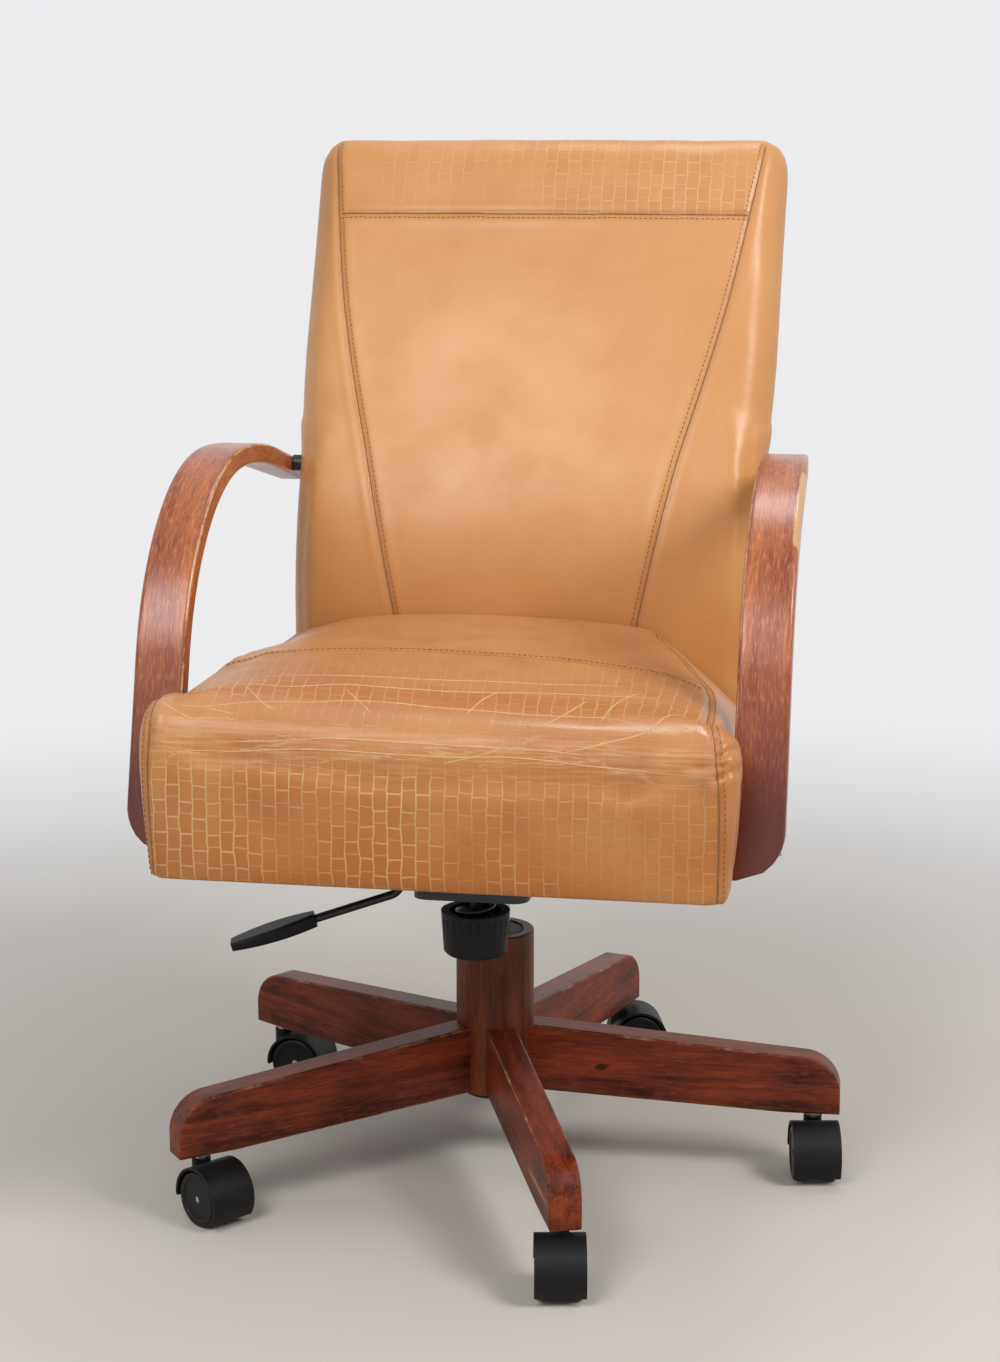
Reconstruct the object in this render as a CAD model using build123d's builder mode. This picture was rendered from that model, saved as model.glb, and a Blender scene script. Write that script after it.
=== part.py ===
from build123d import *
import os
from math import cos, hypot, pi, radians, sin, sqrt

os.makedirs("parts", exist_ok=True)

# Swivel office chair: five wooden legs on twin-wheel casters, a turned hub column with a gas lift,
# a sprung tilt mechanism, an upholstered seat and back, and two bentwood arms.
# The origin is on the floor under the column, +Z is up and the sitter faces -Y. Millimetres.

# Fits
RUN = 0.3            # running gap between bodies that move past each other
PIN_FIT = 0.1        # radial gap of a pin in its hole
FLAT_FIT = 0.2       # gap between flat faces that slide

# Base: hub column and legs
LEG_COUNT = 5
LEG_FIRST_ANGLE = -69.5
LEG_REACH = 325.0
LEG_THICK = 28.5
LEG_ROOT_TOP = 136.0
LEG_ROOT_BOTTOM = 72.0
LEG_TIP_TOP = 112.0
LEG_TIP_BOTTOM = 60.0
LEG_NOSE_RADIUS = 35.0
LEG_FOOT_LENGTH = 54.0
LEG_EDGE_RADIUS = 2.5
HUB_DIAMETER = 73.0
HUB_TOP = 225.0
HUB_BOTTOM = 71.0
HUB_FLAT_RADIUS = 33.5
HUB_RIM_CHAMFER = 1.2
SLEEVE_WALL = 1.6
SLEEVE_TOP_DROP = 3.0
CAP_FLANGE_THICK = 5.0
CAP_FLANGE_DIAMETER = 62.0
CAP_PLUG_HEIGHT = 8.0
SCREW_SHANK_DIAMETER = 7.0
SCREW_HEAD_DIAMETER = 13.0
SCREW_HEAD_HEIGHT = 3.5
SCREW_LENGTH = 62.0
SCREW_INSET = 16.0

# Casters
WHEEL_RADIUS = 25.0
WHEEL_WIDTH = 13.5
WHEEL_INNER_FACE = 7.6
WHEEL_WALL = 3.0
WHEEL_RIM_WALL = 3.6
WHEEL_HUB_RADIUS = 7.0
WHEEL_EDGE_RADIUS = 2.5
WHEEL_DISH_RADIUS = 18.5
WHEEL_DISH_DEPTH = 1.0
AXLE_DIAMETER = 6.0
AXLE_END_INSET = 1.6
HOOD_RADIUS = 29.5
HOOD_WALL = 2.4
HOOD_HALF_WIDTH = 22.0
HOOD_WEB_HALF = 7.0
HOOD_SKIRT_ANGLE = -36.0
HOOD_FRONT_ANGLE = 185.0
HOOD_BOSS_DIAMETER = 17.0
HOOD_TOP = 54.5
CASTER_TRAIL = 20.0
CASTER_CIRCLE_RADIUS = 300.0
CASTER_TRAIL_ANGLES = (-80.0, -80.0, 15.0, -9.0, -38.0)
STEM_DIAMETER = 11.0
STEM_COLLAR_DIAMETER = 13.0
SPINDLE_DIAMETER = 8.0
SPINDLE_BOTTOM = 30.0
STEM_LENGTH = 36.0
SOCKET_WALL = 1.5
SOCKET_FLANGE_DIAMETER = 21.0
SOCKET_FLANGE_THICK = 1.5
SOCKET_DEPTH = 40.0

# Gas lift
TUBE_DIAMETER = 50.0
TUBE_WALL = 3.0
TUBE_TOP = 221.0
TUBE_BOTTOM = 84.0
TUBE_FLOOR_THICK = 5.0
BUSH_COLLAR_THICK = 3.0
BUSH_LENGTH = 58.0
CYLINDER_DIAMETER = 28.0
CYLINDER_WALL = 2.5
CYLINDER_BOTTOM = 150.0
CYLINDER_TOP = 312.0
CYLINDER_END_THICK = 8.0
CYLINDER_HEAD_THICK = 20.0
PISTON_ROD_DIAMETER = 10.0
PISTON_BOTTOM = 224.0
PISTON_HEIGHT = 12.0
ROD_SHOULDER_DIAMETER = 16.0
ROD_SHOULDER_HEIGHT = 5.0
BEARING_DIAMETER = 26.0
BEARING_HEIGHT = 6.0
CLIP_DIAMETER = 16.0
CLIP_THICK = 1.5
BUTTON_DIAMETER = 8.0
BUTTON_RISE = 6.0
BUTTON_DEPTH = 12.0

# Tilt mechanism
HOUSING_HALF_WIDTH = 52.0
HOUSING_FRONT = -132.0
HOUSING_REAR = 70.0
HOUSING_BOTTOM = 288.0
HOUSING_WALL = 3.0
HOUSING_REAR_TOP = 308.0
HOUSING_CORNER_RADIUS = 14.0
CONE_DIAMETER = 42.0
CONE_DROP = 4.0
PIVOT_Y = -48.0
PIVOT_Z = 318.0
PIVOT_EAR_RADIUS = 16.0
SHAFT_DIAMETER = 14.0
SHAFT_HEAD_DIAMETER = 22.0
SHAFT_HEAD_THICK = 3.0
PLATE_THICK = 3.0
PLATE_HALF_WIDTH = 92.0
PLATE_FRONT = -150.0
PLATE_REAR = 95.0
PLATE_CORNER_RADIUS = 18.0
PLATE_BOLT_X = 75.0
PLATE_BOLT_FRONT = -130.0
PLATE_BOLT_REAR = 72.0
KNOB_Y = -100.0
KNOB_DIAMETER = 62.0
KNOB_BASE_DIAMETER = 57.0
KNOB_TOP = 272.0
KNOB_BOTTOM = 232.0
KNOB_FLOOR_THICK = 8.0
KNOB_WALL = 5.0
KNOB_BOTTOM_CHAMFER = 3.0
KNOB_FLUTES = 24
KNOB_FLUTE_RADIUS = 1.6
KNOB_FLUTE_TOP_GAP = 5.0
TENSION_BOLT_DIAMETER = 10.0
TENSION_BOLT_PROUD = 2.0
HANGER_Z = 334.0
HANGER_PIN_DIAMETER = 6.0
HANGER_EYE_DIAMETER = 15.0
HANGER_EYE_WIDTH = 15.0
HANGER_LUG_THICK = 3.0
TENSION_SLOT_REACH = 8.0
TENSION_SLOT_GAP = 2.0
SPRING_WIRE = 5.0
SPRING_MEAN_DIAMETER = 36.0
SPRING_TURNS = 4

# Height lever
LEVER_ANGLE = 193.7
LEVER_ROD_DIAMETER = 8.0
LEVER_INNER_END = -10.0
LEVER_BEND_START = 58.0
LEVER_BEND_END = 92.0
LEVER_BEND_Z = 260.0
LEVER_ROD_END = 196.0
LEVER_SLOPE = 17.0
LEVER_BEND_RADIUS = 14.0
LEVER_SLOT_GAP = 1.5
PADDLE_START = 168.0
PADDLE_END = 246.0
PADDLE_WIDTH = 30.0
PADDLE_NECK_WIDTH = 16.0
PADDLE_THICK = 13.0
PADDLE_TIP_THICK = 8.0
PADDLE_EDGE_RADIUS = 3.2

# Seat
SEAT_FRONT = -300.0
SEAT_REAR = 118.5
SEAT_BOTTOM = 344.0
SEAT_NOSE_RADIUS = 36.0
SEAT_CREST = 478.0
SEAT_CROWN = 503.0
SEAT_CROWN_Y = 45.0
SEAT_FRONT_HALF_WIDTH = 248.0
SEAT_ARM_NOTCH = 14.0
SEAT_BASE_DRAW = 3.0
SEAT_SIDE_SWELL = 1.0
SEAT_CORNER_RADIUS = 26.0
SEAT_FRONT_CORNER = 14.0
SEAT_FRONT_CROWN = 3.0
ARM_NOTCH_Y = -242.0
ARM_NOTCH_LENGTH = 22.0
BOARD_THICK = 12.0
BOARD_INSET = 29.0
BOARD_FRONT = -272.0
BOARD_RECESS = 3.0
RAIL_THICK = 22.0
RAIL_HEIGHT = 55.0
RAIL_REAR = 100.0
COVER_THICK = 1.2
SEAT_BOLT_DIAMETER = 8.0
SEAT_BOLT_HEAD_DIAMETER = 14.0
SEAT_BOLT_HEAD_HEIGHT = 5.0

# Back
BACK_FRONT_Y = 119.0
BACK_BOTTOM = 346.0
BACK_BEND_Z = 490.0
BACK_BEND_RADIUS = 380.0
BACK_RECLINE = 25.5
BACK_TOP = 944.0
BACK_HALF_THICK = 45.0
BACK_ARM_INSET = 1.0
BACK_SWELL = 8.0
BACK_TOP_RADIUS = 20.0
BACK_TOP_LENGTH = 34.0
BACK_TOP_HALF_THICK = 14.0
BACK_SWELL_LENGTH = 130.0
BACK_SIDE_DRAW = 22.0
BACK_CROWN = 9.0
BACK_BOARD_THICK = 18.0
BACK_BOARD_TOP_GAP = 40.0
BACK_PANEL_INSET = 21.0
BACK_PANEL_TOP_GAP = 30.0
BACK_PANEL_BOTTOM_GAP = 14.0
BRACKET_THICK = 4.0
BRACKET_WIDTH = 40.0
BRACKET_LEG = 48.0
BRACKET_FOOT = 36.0
BRACKET_X = 120.0

# Arms
ARM_GAP = 4.0
ARM_WIDTH = 45.0
ARM_TAIL_WIDTH = 22.0
ARM_TAPER_START = -80.0
ARM_TAPER_END = 240.0
ARM_THICK = 19.0
ARM_FOOT_Y = -235.0
ARM_FOOT_Z = 349.0
ARM_BEND_Y = -190.0
ARM_BEND_Z = 510.0
ARM_CREST_Y = 21.0
ARM_CREST_Z = 670.0
ARM_TAIL_Y = 142.0
ARM_TAIL_Z = 655.0
ARM_TAIL_LENGTH = 95.0
ARM_FOOT_RADIUS = 38.0
ARM_EDGE_RADIUS = 4.0
ARM_BOLT_DIAMETER = 8.0
ARM_BOLT_HEAD_DIAMETER = 13.0
ARM_BOLT_HEAD_HEIGHT = 6.0
ARM_BOLT_SINK = 9.0
ARM_BOLT_GRIP = 16.0
ARM_SPACER_DIAMETER = 16.0
ARM_LOWER_BOLT_HEIGHTS = (374.0, 402.0)

# Places worked out from the sizes above
HUB_BORE = TUBE_DIAMETER + 2 * PIN_FIT + 2 * SLEEVE_WALL
SLEEVE_OUTER = HUB_BORE - 2 * PIN_FIT
LEG_ANGLES = [LEG_FIRST_ANGLE + 360 * i / LEG_COUNT for i in range(LEG_COUNT)]
SCREW_HEIGHTS = (LEG_ROOT_BOTTOM + SCREW_INSET, LEG_ROOT_TOP - SCREW_INSET)
BOARD_BOTTOM = SEAT_BOTTOM + BOARD_RECESS
BOARD_TOP = BOARD_BOTTOM + BOARD_THICK
PLATE_BOTTOM = BOARD_BOTTOM - PLATE_THICK
HOUSING_FLOOR = HOUSING_BOTTOM + HOUSING_WALL
BACK_MID_Y = BACK_FRONT_Y + BACK_HALF_THICK
BACK_MID_RADIUS = BACK_BEND_RADIUS - BACK_HALF_THICK
BACK_ARC_CENTRE_Y = BACK_FRONT_Y + BACK_BEND_RADIUS
BACK_LOWER_RUN = BACK_BEND_Z - BACK_BOTTOM
BACK_ARC_RUN = BACK_MID_RADIUS * radians(BACK_RECLINE)
BACK_BEND_TOP_Z = BACK_BEND_Z + BACK_MID_RADIUS * sin(radians(BACK_RECLINE))
BACK_UPPER_RUN = (BACK_TOP - BACK_BEND_TOP_Z) / cos(radians(BACK_RECLINE))
BACK_RUN = BACK_LOWER_RUN + BACK_ARC_RUN + BACK_UPPER_RUN
BOARD_REAR = BACK_MID_Y - BACK_BOARD_THICK / 2
SEAT_HALF_WIDTH = SEAT_FRONT_HALF_WIDTH - SEAT_ARM_NOTCH
SEAT_BASE_HALF_WIDTH = SEAT_HALF_WIDTH - SEAT_BASE_DRAW
BOARD_HALF_WIDTH = SEAT_HALF_WIDTH - BOARD_INSET
BACK_ARM_HALF_WIDTH = SEAT_HALF_WIDTH - BACK_ARM_INSET
BACK_HALF_WIDTH = BACK_ARM_HALF_WIDTH + BACK_SWELL
BACK_PANEL_HALF_WIDTH = BACK_ARM_HALF_WIDTH - BACK_PANEL_INSET
ARM_INNER_X = SEAT_HALF_WIDTH + ARM_GAP
ARM_OUTER_X = ARM_INNER_X + ARM_WIDTH


def polar(radius, angle):
    """Point in plan at a radius and an angle from +X."""
    return (radius * cos(radians(angle)), radius * sin(radians(angle)))


def upright_plane(origin, angle):
    """Vertical plane through origin: local x runs outward at the angle, local y is up."""
    outward = polar(1, angle)
    return Plane(origin=origin, x_dir=(*outward, 0), z_dir=(outward[1], -outward[0], 0))


def save(piece, label):
    """Name a finished piece and write its file."""
    piece.part.label = label
    export_step(piece.part, f"parts/{label}.step")


# Hub column: a turned wooden post, bored for the gas lift, with a flat for each leg.
with BuildPart() as hub_column:
    with BuildSketch(Plane.XY.offset(HUB_BOTTOM)):
        Circle(HUB_DIAMETER / 2)
        Circle(HUB_BORE / 2, mode=Mode.SUBTRACT)
    extrude(amount=HUB_TOP - HUB_BOTTOM)
    chamfer(hub_column.faces().sort_by(Axis.Z)[-1].edges(), HUB_RIM_CHAMFER)
    with BuildSketch(Plane.XY.offset(HUB_BOTTOM)):
        with PolarLocations(HUB_FLAT_RADIUS + HUB_DIAMETER / 4, LEG_COUNT, LEG_FIRST_ANGLE):
            Rectangle(HUB_DIAMETER / 2, HUB_DIAMETER)
    extrude(amount=LEG_ROOT_TOP - HUB_BOTTOM, mode=Mode.SUBTRACT)
    for angle in LEG_ANGLES:
        for height in SCREW_HEIGHTS:
            outward = (*polar(1, angle), 0)
            with BuildSketch(Plane(origin=(0, 0, height), x_dir=(0, 0, 1), z_dir=outward)):
                Circle(SCREW_SHANK_DIAMETER / 2 + PIN_FIT)
            extrude(amount=HUB_DIAMETER, mode=Mode.SUBTRACT)
            with BuildSketch(Plane(origin=(0, 0, height), x_dir=(0, 0, 1), z_dir=outward)):
                Circle(SCREW_HEAD_DIAMETER / 2 + PIN_FIT)
            extrude(amount=HUB_BORE / 2 + SCREW_HEAD_HEIGHT + PIN_FIT, mode=Mode.SUBTRACT)
save(hub_column, "hub_column")

# Legs: sawn boards with a rounded nose, butted to the hub's flats and drilled for screws and caster sockets.
for index, angle in enumerate(LEG_ANGLES):
    with BuildPart() as leg:
        with BuildSketch(upright_plane((0, 0, 0), angle)) as leg_side:
            with BuildLine():
                Polyline(
                    (HUB_FLAT_RADIUS, LEG_ROOT_BOTTOM),
                    (HUB_FLAT_RADIUS, LEG_ROOT_TOP),
                    (LEG_REACH, LEG_TIP_TOP),
                    (LEG_REACH, LEG_TIP_BOTTOM),
                    (LEG_REACH - LEG_FOOT_LENGTH, LEG_TIP_BOTTOM),
                    close=True,
                )
            make_face()
            nose_corner = leg_side.vertices().sort_by(Axis.Y)[-2]
            fillet(nose_corner, LEG_NOSE_RADIUS)
        extrude(amount=LEG_THICK / 2, both=True)
        side_faces = leg.faces().sort_by(SortBy.AREA)[-2:]
        outer_edges = [
            edge for edge in side_faces.edges()
            if hypot(edge.center().X, edge.center().Y) > HUB_FLAT_RADIUS + LEG_THICK
        ]
        fillet(outer_edges, LEG_EDGE_RADIUS)
        with BuildSketch(Plane.XY.offset(LEG_TIP_BOTTOM)):
            with Locations(polar(CASTER_CIRCLE_RADIUS, angle)):
                Circle(STEM_DIAMETER / 2 + SOCKET_WALL + 2 * PIN_FIT)
        extrude(amount=SOCKET_DEPTH + PIN_FIT, mode=Mode.SUBTRACT)
        for height in SCREW_HEIGHTS:
            with BuildSketch(Plane(origin=(0, 0, height), x_dir=(0, 0, 1), z_dir=(*polar(1, angle), 0))):
                Circle(SCREW_SHANK_DIAMETER / 2 + PIN_FIT)
            extrude(amount=HUB_BORE / 2 + SCREW_LENGTH + PIN_FIT, mode=Mode.SUBTRACT)
    save(leg, f"leg_{index + 1}")

# Screws that pull each leg against its flat: countersunk from inside the bore, two to a leg.
with BuildPart() as leg_screws:
    for angle in LEG_ANGLES:
        for height in SCREW_HEIGHTS:
            outward = (*polar(1, angle), 0)
            head_origin = (*polar(HUB_BORE / 2, angle), height)
            with BuildSketch(Plane(origin=head_origin, x_dir=(0, 0, 1), z_dir=outward)):
                Circle(SCREW_HEAD_DIAMETER / 2)
            extrude(amount=SCREW_HEAD_HEIGHT)
            with BuildSketch(Plane(origin=head_origin, x_dir=(0, 0, 1), z_dir=outward)):
                Circle(SCREW_SHANK_DIAMETER / 2)
            extrude(amount=SCREW_LENGTH)
save(leg_screws, "leg_screws")

# Steel sleeve that lines the bore above the cap and grips the gas tube.
CAP_PLUG_TOP = HUB_BOTTOM + CAP_PLUG_HEIGHT
with BuildPart() as hub_sleeve:
    with BuildSketch(Plane.XY.offset(CAP_PLUG_TOP)):
        Circle(SLEEVE_OUTER / 2)
        Circle(SLEEVE_OUTER / 2 - SLEEVE_WALL, mode=Mode.SUBTRACT)
    extrude(amount=HUB_TOP - SLEEVE_TOP_DROP - CAP_PLUG_TOP)
save(hub_sleeve, "hub_sleeve")

# Plastic cap that closes the bore from below.
with BuildPart() as hub_cap:
    with BuildSketch(Plane.XY.offset(HUB_BOTTOM)):
        Circle(CAP_FLANGE_DIAMETER / 2)
    extrude(amount=-CAP_FLANGE_THICK)
    chamfer(hub_cap.faces().sort_by(Axis.Z)[0].edges(), CAP_FLANGE_THICK / 3)
    with BuildSketch(Plane.XY.offset(HUB_BOTTOM)):
        Circle(HUB_BORE / 2 - PIN_FIT)
    extrude(amount=CAP_PLUG_HEIGHT)
save(hub_cap, "hub_cap")

# Caster sockets: flanged sleeves pushed up into the legs.
STEM_POINTS = [polar(CASTER_CIRCLE_RADIUS, angle) for angle in LEG_ANGLES]
with BuildPart() as caster_sockets:
    with BuildSketch(Plane.XY.offset(LEG_TIP_BOTTOM)):
        with Locations(*STEM_POINTS):
            Circle(SOCKET_FLANGE_DIAMETER / 2)
    extrude(amount=-SOCKET_FLANGE_THICK)
    with BuildSketch(Plane.XY.offset(LEG_TIP_BOTTOM)):
        with Locations(*STEM_POINTS):
            Circle(STEM_DIAMETER / 2 + SOCKET_WALL + PIN_FIT)
    extrude(amount=SOCKET_DEPTH)
    with BuildSketch(Plane.XY.offset(LEG_TIP_BOTTOM - SOCKET_FLANGE_THICK)):
        with Locations(*STEM_POINTS):
            Circle(STEM_DIAMETER / 2 + PIN_FIT)
    extrude(amount=SOCKET_DEPTH, mode=Mode.SUBTRACT)
save(caster_sockets, "caster_sockets")

# Caster stems: the grip end sits in the socket, the collar shows, and the hood turns on the spindle.
STEM_COLLAR_BOTTOM = HOOD_TOP + FLAT_FIT
STEM_COLLAR_TOP = LEG_TIP_BOTTOM - SOCKET_FLANGE_THICK
with BuildPart() as caster_stems:
    with BuildSketch(Plane.XY.offset(STEM_COLLAR_BOTTOM)):
        with Locations(*STEM_POINTS):
            Circle(STEM_COLLAR_DIAMETER / 2)
    extrude(amount=STEM_COLLAR_TOP - STEM_COLLAR_BOTTOM)
    with BuildSketch(Plane.XY.offset(STEM_COLLAR_TOP)):
        with Locations(*STEM_POINTS):
            Circle(STEM_DIAMETER / 2)
    extrude(amount=STEM_LENGTH)
    with BuildSketch(Plane.XY.offset(SPINDLE_BOTTOM)):
        with Locations(*STEM_POINTS):
            Circle(SPINDLE_DIAMETER / 2)
    extrude(amount=STEM_COLLAR_BOTTOM - SPINDLE_BOTTOM)
save(caster_stems, "caster_stems")

# Casters: a hood with a centre web between two wheels on one axle, trailing behind the stem.
WELL_RADIUS = HOOD_RADIUS - HOOD_WALL
WHEEL_OUTER_FACE = WHEEL_INNER_FACE + WHEEL_WIDTH
for index, (stem_point, trail_angle) in enumerate(zip(STEM_POINTS, CASTER_TRAIL_ANGLES)):
    trail = polar(CASTER_TRAIL, trail_angle)
    centre = (stem_point[0] + trail[0], stem_point[1] + trail[1], WHEEL_RADIUS)
    side_plane = upright_plane(centre, trail_angle)
    axle_axis = Axis(centre, side_plane.z_dir)
    skirt = (HOOD_RADIUS * cos(radians(HOOD_SKIRT_ANGLE)), HOOD_RADIUS * sin(radians(HOOD_SKIRT_ANGLE)))
    brow = (HOOD_RADIUS * cos(radians(HOOD_FRONT_ANGLE)), HOOD_RADIUS * sin(radians(HOOD_FRONT_ANGLE)))

    with BuildPart() as hood:
        with BuildSketch(side_plane):
            with BuildLine():
                ThreePointArc(skirt, (0, HOOD_RADIUS), brow)
                Line(brow, skirt)
            make_face()
        extrude(amount=HOOD_HALF_WIDTH, both=True)
        with BuildSketch(Plane.XY.offset(WHEEL_RADIUS)):
            with Locations(stem_point):
                Circle(HOOD_BOSS_DIAMETER / 2)
        extrude(amount=HOOD_TOP - WHEEL_RADIUS)
        for side in (1, -1):
            with BuildSketch(side_plane.offset(side * HOOD_WEB_HALF)):
                Circle(WELL_RADIUS)
            extrude(amount=side * HOOD_HALF_WIDTH, mode=Mode.SUBTRACT)
        with BuildSketch(side_plane):
            Circle(AXLE_DIAMETER / 2 + PIN_FIT)
        extrude(amount=HOOD_HALF_WIDTH, both=True, mode=Mode.SUBTRACT)
        with BuildSketch(Plane.XY.offset(SPINDLE_BOTTOM - FLAT_FIT)):
            with Locations(stem_point):
                Circle(SPINDLE_DIAMETER / 2 + PIN_FIT)
        extrude(amount=HOOD_TOP, mode=Mode.SUBTRACT)
    save(hood, f"caster_{index + 1}_hood")

    with BuildPart() as axle:
        with BuildSketch(side_plane):
            Circle(AXLE_DIAMETER / 2)
        extrude(amount=WHEEL_OUTER_FACE - AXLE_END_INSET, both=True)
    save(axle, f"caster_{index + 1}_axle")

    for side, wheel_name in ((1, "a"), (-1, "b")):
        outward = side_plane.z_dir * side
        with BuildPart() as wheel:
            half_plane = Plane(origin=centre, x_dir=outward, z_dir=outward.cross(Vector(0, 0, 1)))
            with BuildSketch(half_plane) as wheel_half:
                with BuildLine():
                    Polyline(
                        (WHEEL_INNER_FACE, AXLE_DIAMETER / 2 + PIN_FIT),
                        (WHEEL_INNER_FACE, WHEEL_HUB_RADIUS),
                        (WHEEL_OUTER_FACE - WHEEL_DISH_DEPTH - WHEEL_WALL, WHEEL_HUB_RADIUS),
                        (WHEEL_OUTER_FACE - WHEEL_DISH_DEPTH - WHEEL_WALL, WHEEL_RADIUS - WHEEL_RIM_WALL),
                        (WHEEL_INNER_FACE, WHEEL_RADIUS - WHEEL_RIM_WALL),
                        (WHEEL_INNER_FACE, WHEEL_RADIUS),
                        (WHEEL_OUTER_FACE, WHEEL_RADIUS),
                        (WHEEL_OUTER_FACE, WHEEL_DISH_RADIUS + WHEEL_DISH_DEPTH),
                        (WHEEL_OUTER_FACE - WHEEL_DISH_DEPTH, WHEEL_DISH_RADIUS),
                        (WHEEL_OUTER_FACE - WHEEL_DISH_DEPTH, AXLE_DIAMETER / 2 + PIN_FIT),
                        close=True,
                    )
                make_face()
                tread_corners = wheel_half.vertices().group_by(Axis.Y)[-1]
                fillet(tread_corners, WHEEL_EDGE_RADIUS)
            revolve(axis=axle_axis)
        save(wheel, f"caster_{index + 1}_wheel_{wheel_name}")

# Gas tube: the outer column, closed below by a floor that the piston rod hangs in.
with BuildPart() as gas_tube:
    with BuildSketch(Plane.XY.offset(TUBE_BOTTOM)):
        Circle(TUBE_DIAMETER / 2)
    extrude(amount=TUBE_TOP - TUBE_BOTTOM)
    with BuildSketch(Plane.XY.offset(TUBE_BOTTOM + TUBE_FLOOR_THICK)):
        Circle(TUBE_DIAMETER / 2 - TUBE_WALL)
    extrude(amount=TUBE_TOP, mode=Mode.SUBTRACT)
    with BuildSketch(Plane.XY.offset(TUBE_BOTTOM)):
        Circle(PISTON_ROD_DIAMETER / 2 + PIN_FIT)
    extrude(amount=TUBE_FLOOR_THICK, mode=Mode.SUBTRACT)
save(gas_tube, "gas_tube")

# Guide bush: a plastic liner with a collar on the tube's mouth, in which the cylinder slides.
with BuildPart() as gas_bush:
    with BuildSketch(Plane.XY.offset(TUBE_TOP)):
        Circle(TUBE_DIAMETER / 2)
    extrude(amount=BUSH_COLLAR_THICK)
    with BuildSketch(Plane.XY.offset(TUBE_TOP)):
        Circle(TUBE_DIAMETER / 2 - TUBE_WALL - PIN_FIT)
    extrude(amount=-BUSH_LENGTH)
    with BuildSketch(Plane.XY.offset(TUBE_TOP - BUSH_LENGTH)):
        Circle(CYLINDER_DIAMETER / 2 + PIN_FIT)
    extrude(amount=BUSH_LENGTH + BUSH_COLLAR_THICK, mode=Mode.SUBTRACT)
save(gas_bush, "gas_bush")

# Thrust bearing on the tube's floor, and the clip that holds the rod's end under it.
BEARING_BOTTOM = TUBE_BOTTOM + TUBE_FLOOR_THICK
BEARING_TOP = BEARING_BOTTOM + BEARING_HEIGHT
with BuildPart() as thrust_bearing:
    with BuildSketch(Plane.XY.offset(BEARING_BOTTOM)):
        Circle(BEARING_DIAMETER / 2)
        Circle(PISTON_ROD_DIAMETER / 2 + PIN_FIT, mode=Mode.SUBTRACT)
    extrude(amount=BEARING_HEIGHT)
save(thrust_bearing, "thrust_bearing")

# Piston rod: stands on the bearing, carries the piston inside the cylinder and turns with the seat.
with BuildPart() as piston_rod:
    with BuildSketch(Plane.XY.offset(TUBE_BOTTOM - FLAT_FIT - CLIP_THICK)):
        Circle(PISTON_ROD_DIAMETER / 2)
    extrude(amount=PISTON_BOTTOM - TUBE_BOTTOM + FLAT_FIT + CLIP_THICK)
    with BuildSketch(Plane.XY.offset(BEARING_TOP + FLAT_FIT)):
        Circle(ROD_SHOULDER_DIAMETER / 2)
    extrude(amount=ROD_SHOULDER_HEIGHT)
    with BuildSketch(Plane.XY.offset(PISTON_BOTTOM)):
        Circle(CYLINDER_DIAMETER / 2 - CYLINDER_WALL - PIN_FIT)
    extrude(amount=PISTON_HEIGHT)
    with BuildSketch(Plane.XY.offset(TUBE_BOTTOM - FLAT_FIT)):
        Circle(CLIP_DIAMETER / 2)
    extrude(amount=-CLIP_THICK)
save(piston_rod, "piston_rod")

# Gas cylinder: the bright inner cylinder that rises from the tube, with a guided rod end and a valve head.
with BuildPart() as gas_cylinder:
    with BuildSketch(Plane.XY.offset(CYLINDER_BOTTOM)):
        Circle(CYLINDER_DIAMETER / 2)
    extrude(amount=CYLINDER_TOP - CYLINDER_BOTTOM)
    with BuildSketch(Plane.XY.offset(CYLINDER_BOTTOM + CYLINDER_END_THICK)):
        Circle(CYLINDER_DIAMETER / 2 - CYLINDER_WALL)
    extrude(amount=CYLINDER_TOP - CYLINDER_BOTTOM - CYLINDER_END_THICK - CYLINDER_HEAD_THICK,
            mode=Mode.SUBTRACT)
    with BuildSketch(Plane.XY.offset(CYLINDER_BOTTOM)):
        Circle(PISTON_ROD_DIAMETER / 2 + PIN_FIT)
    extrude(amount=CYLINDER_END_THICK, mode=Mode.SUBTRACT)
    with BuildSketch(Plane.XY.offset(CYLINDER_TOP)):
        Circle(BUTTON_DIAMETER / 2 + PIN_FIT)
    extrude(amount=-CYLINDER_HEAD_THICK, mode=Mode.SUBTRACT)
save(gas_cylinder, "gas_cylinder")

# Release button in the valve head, pressed by the lever.
with BuildPart() as release_button:
    with BuildSketch(Plane.XY.offset(CYLINDER_TOP - BUTTON_DEPTH)):
        Circle(BUTTON_DIAMETER / 2)
    extrude(amount=BUTTON_DEPTH + BUTTON_RISE)
save(release_button, "release_button")

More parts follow.
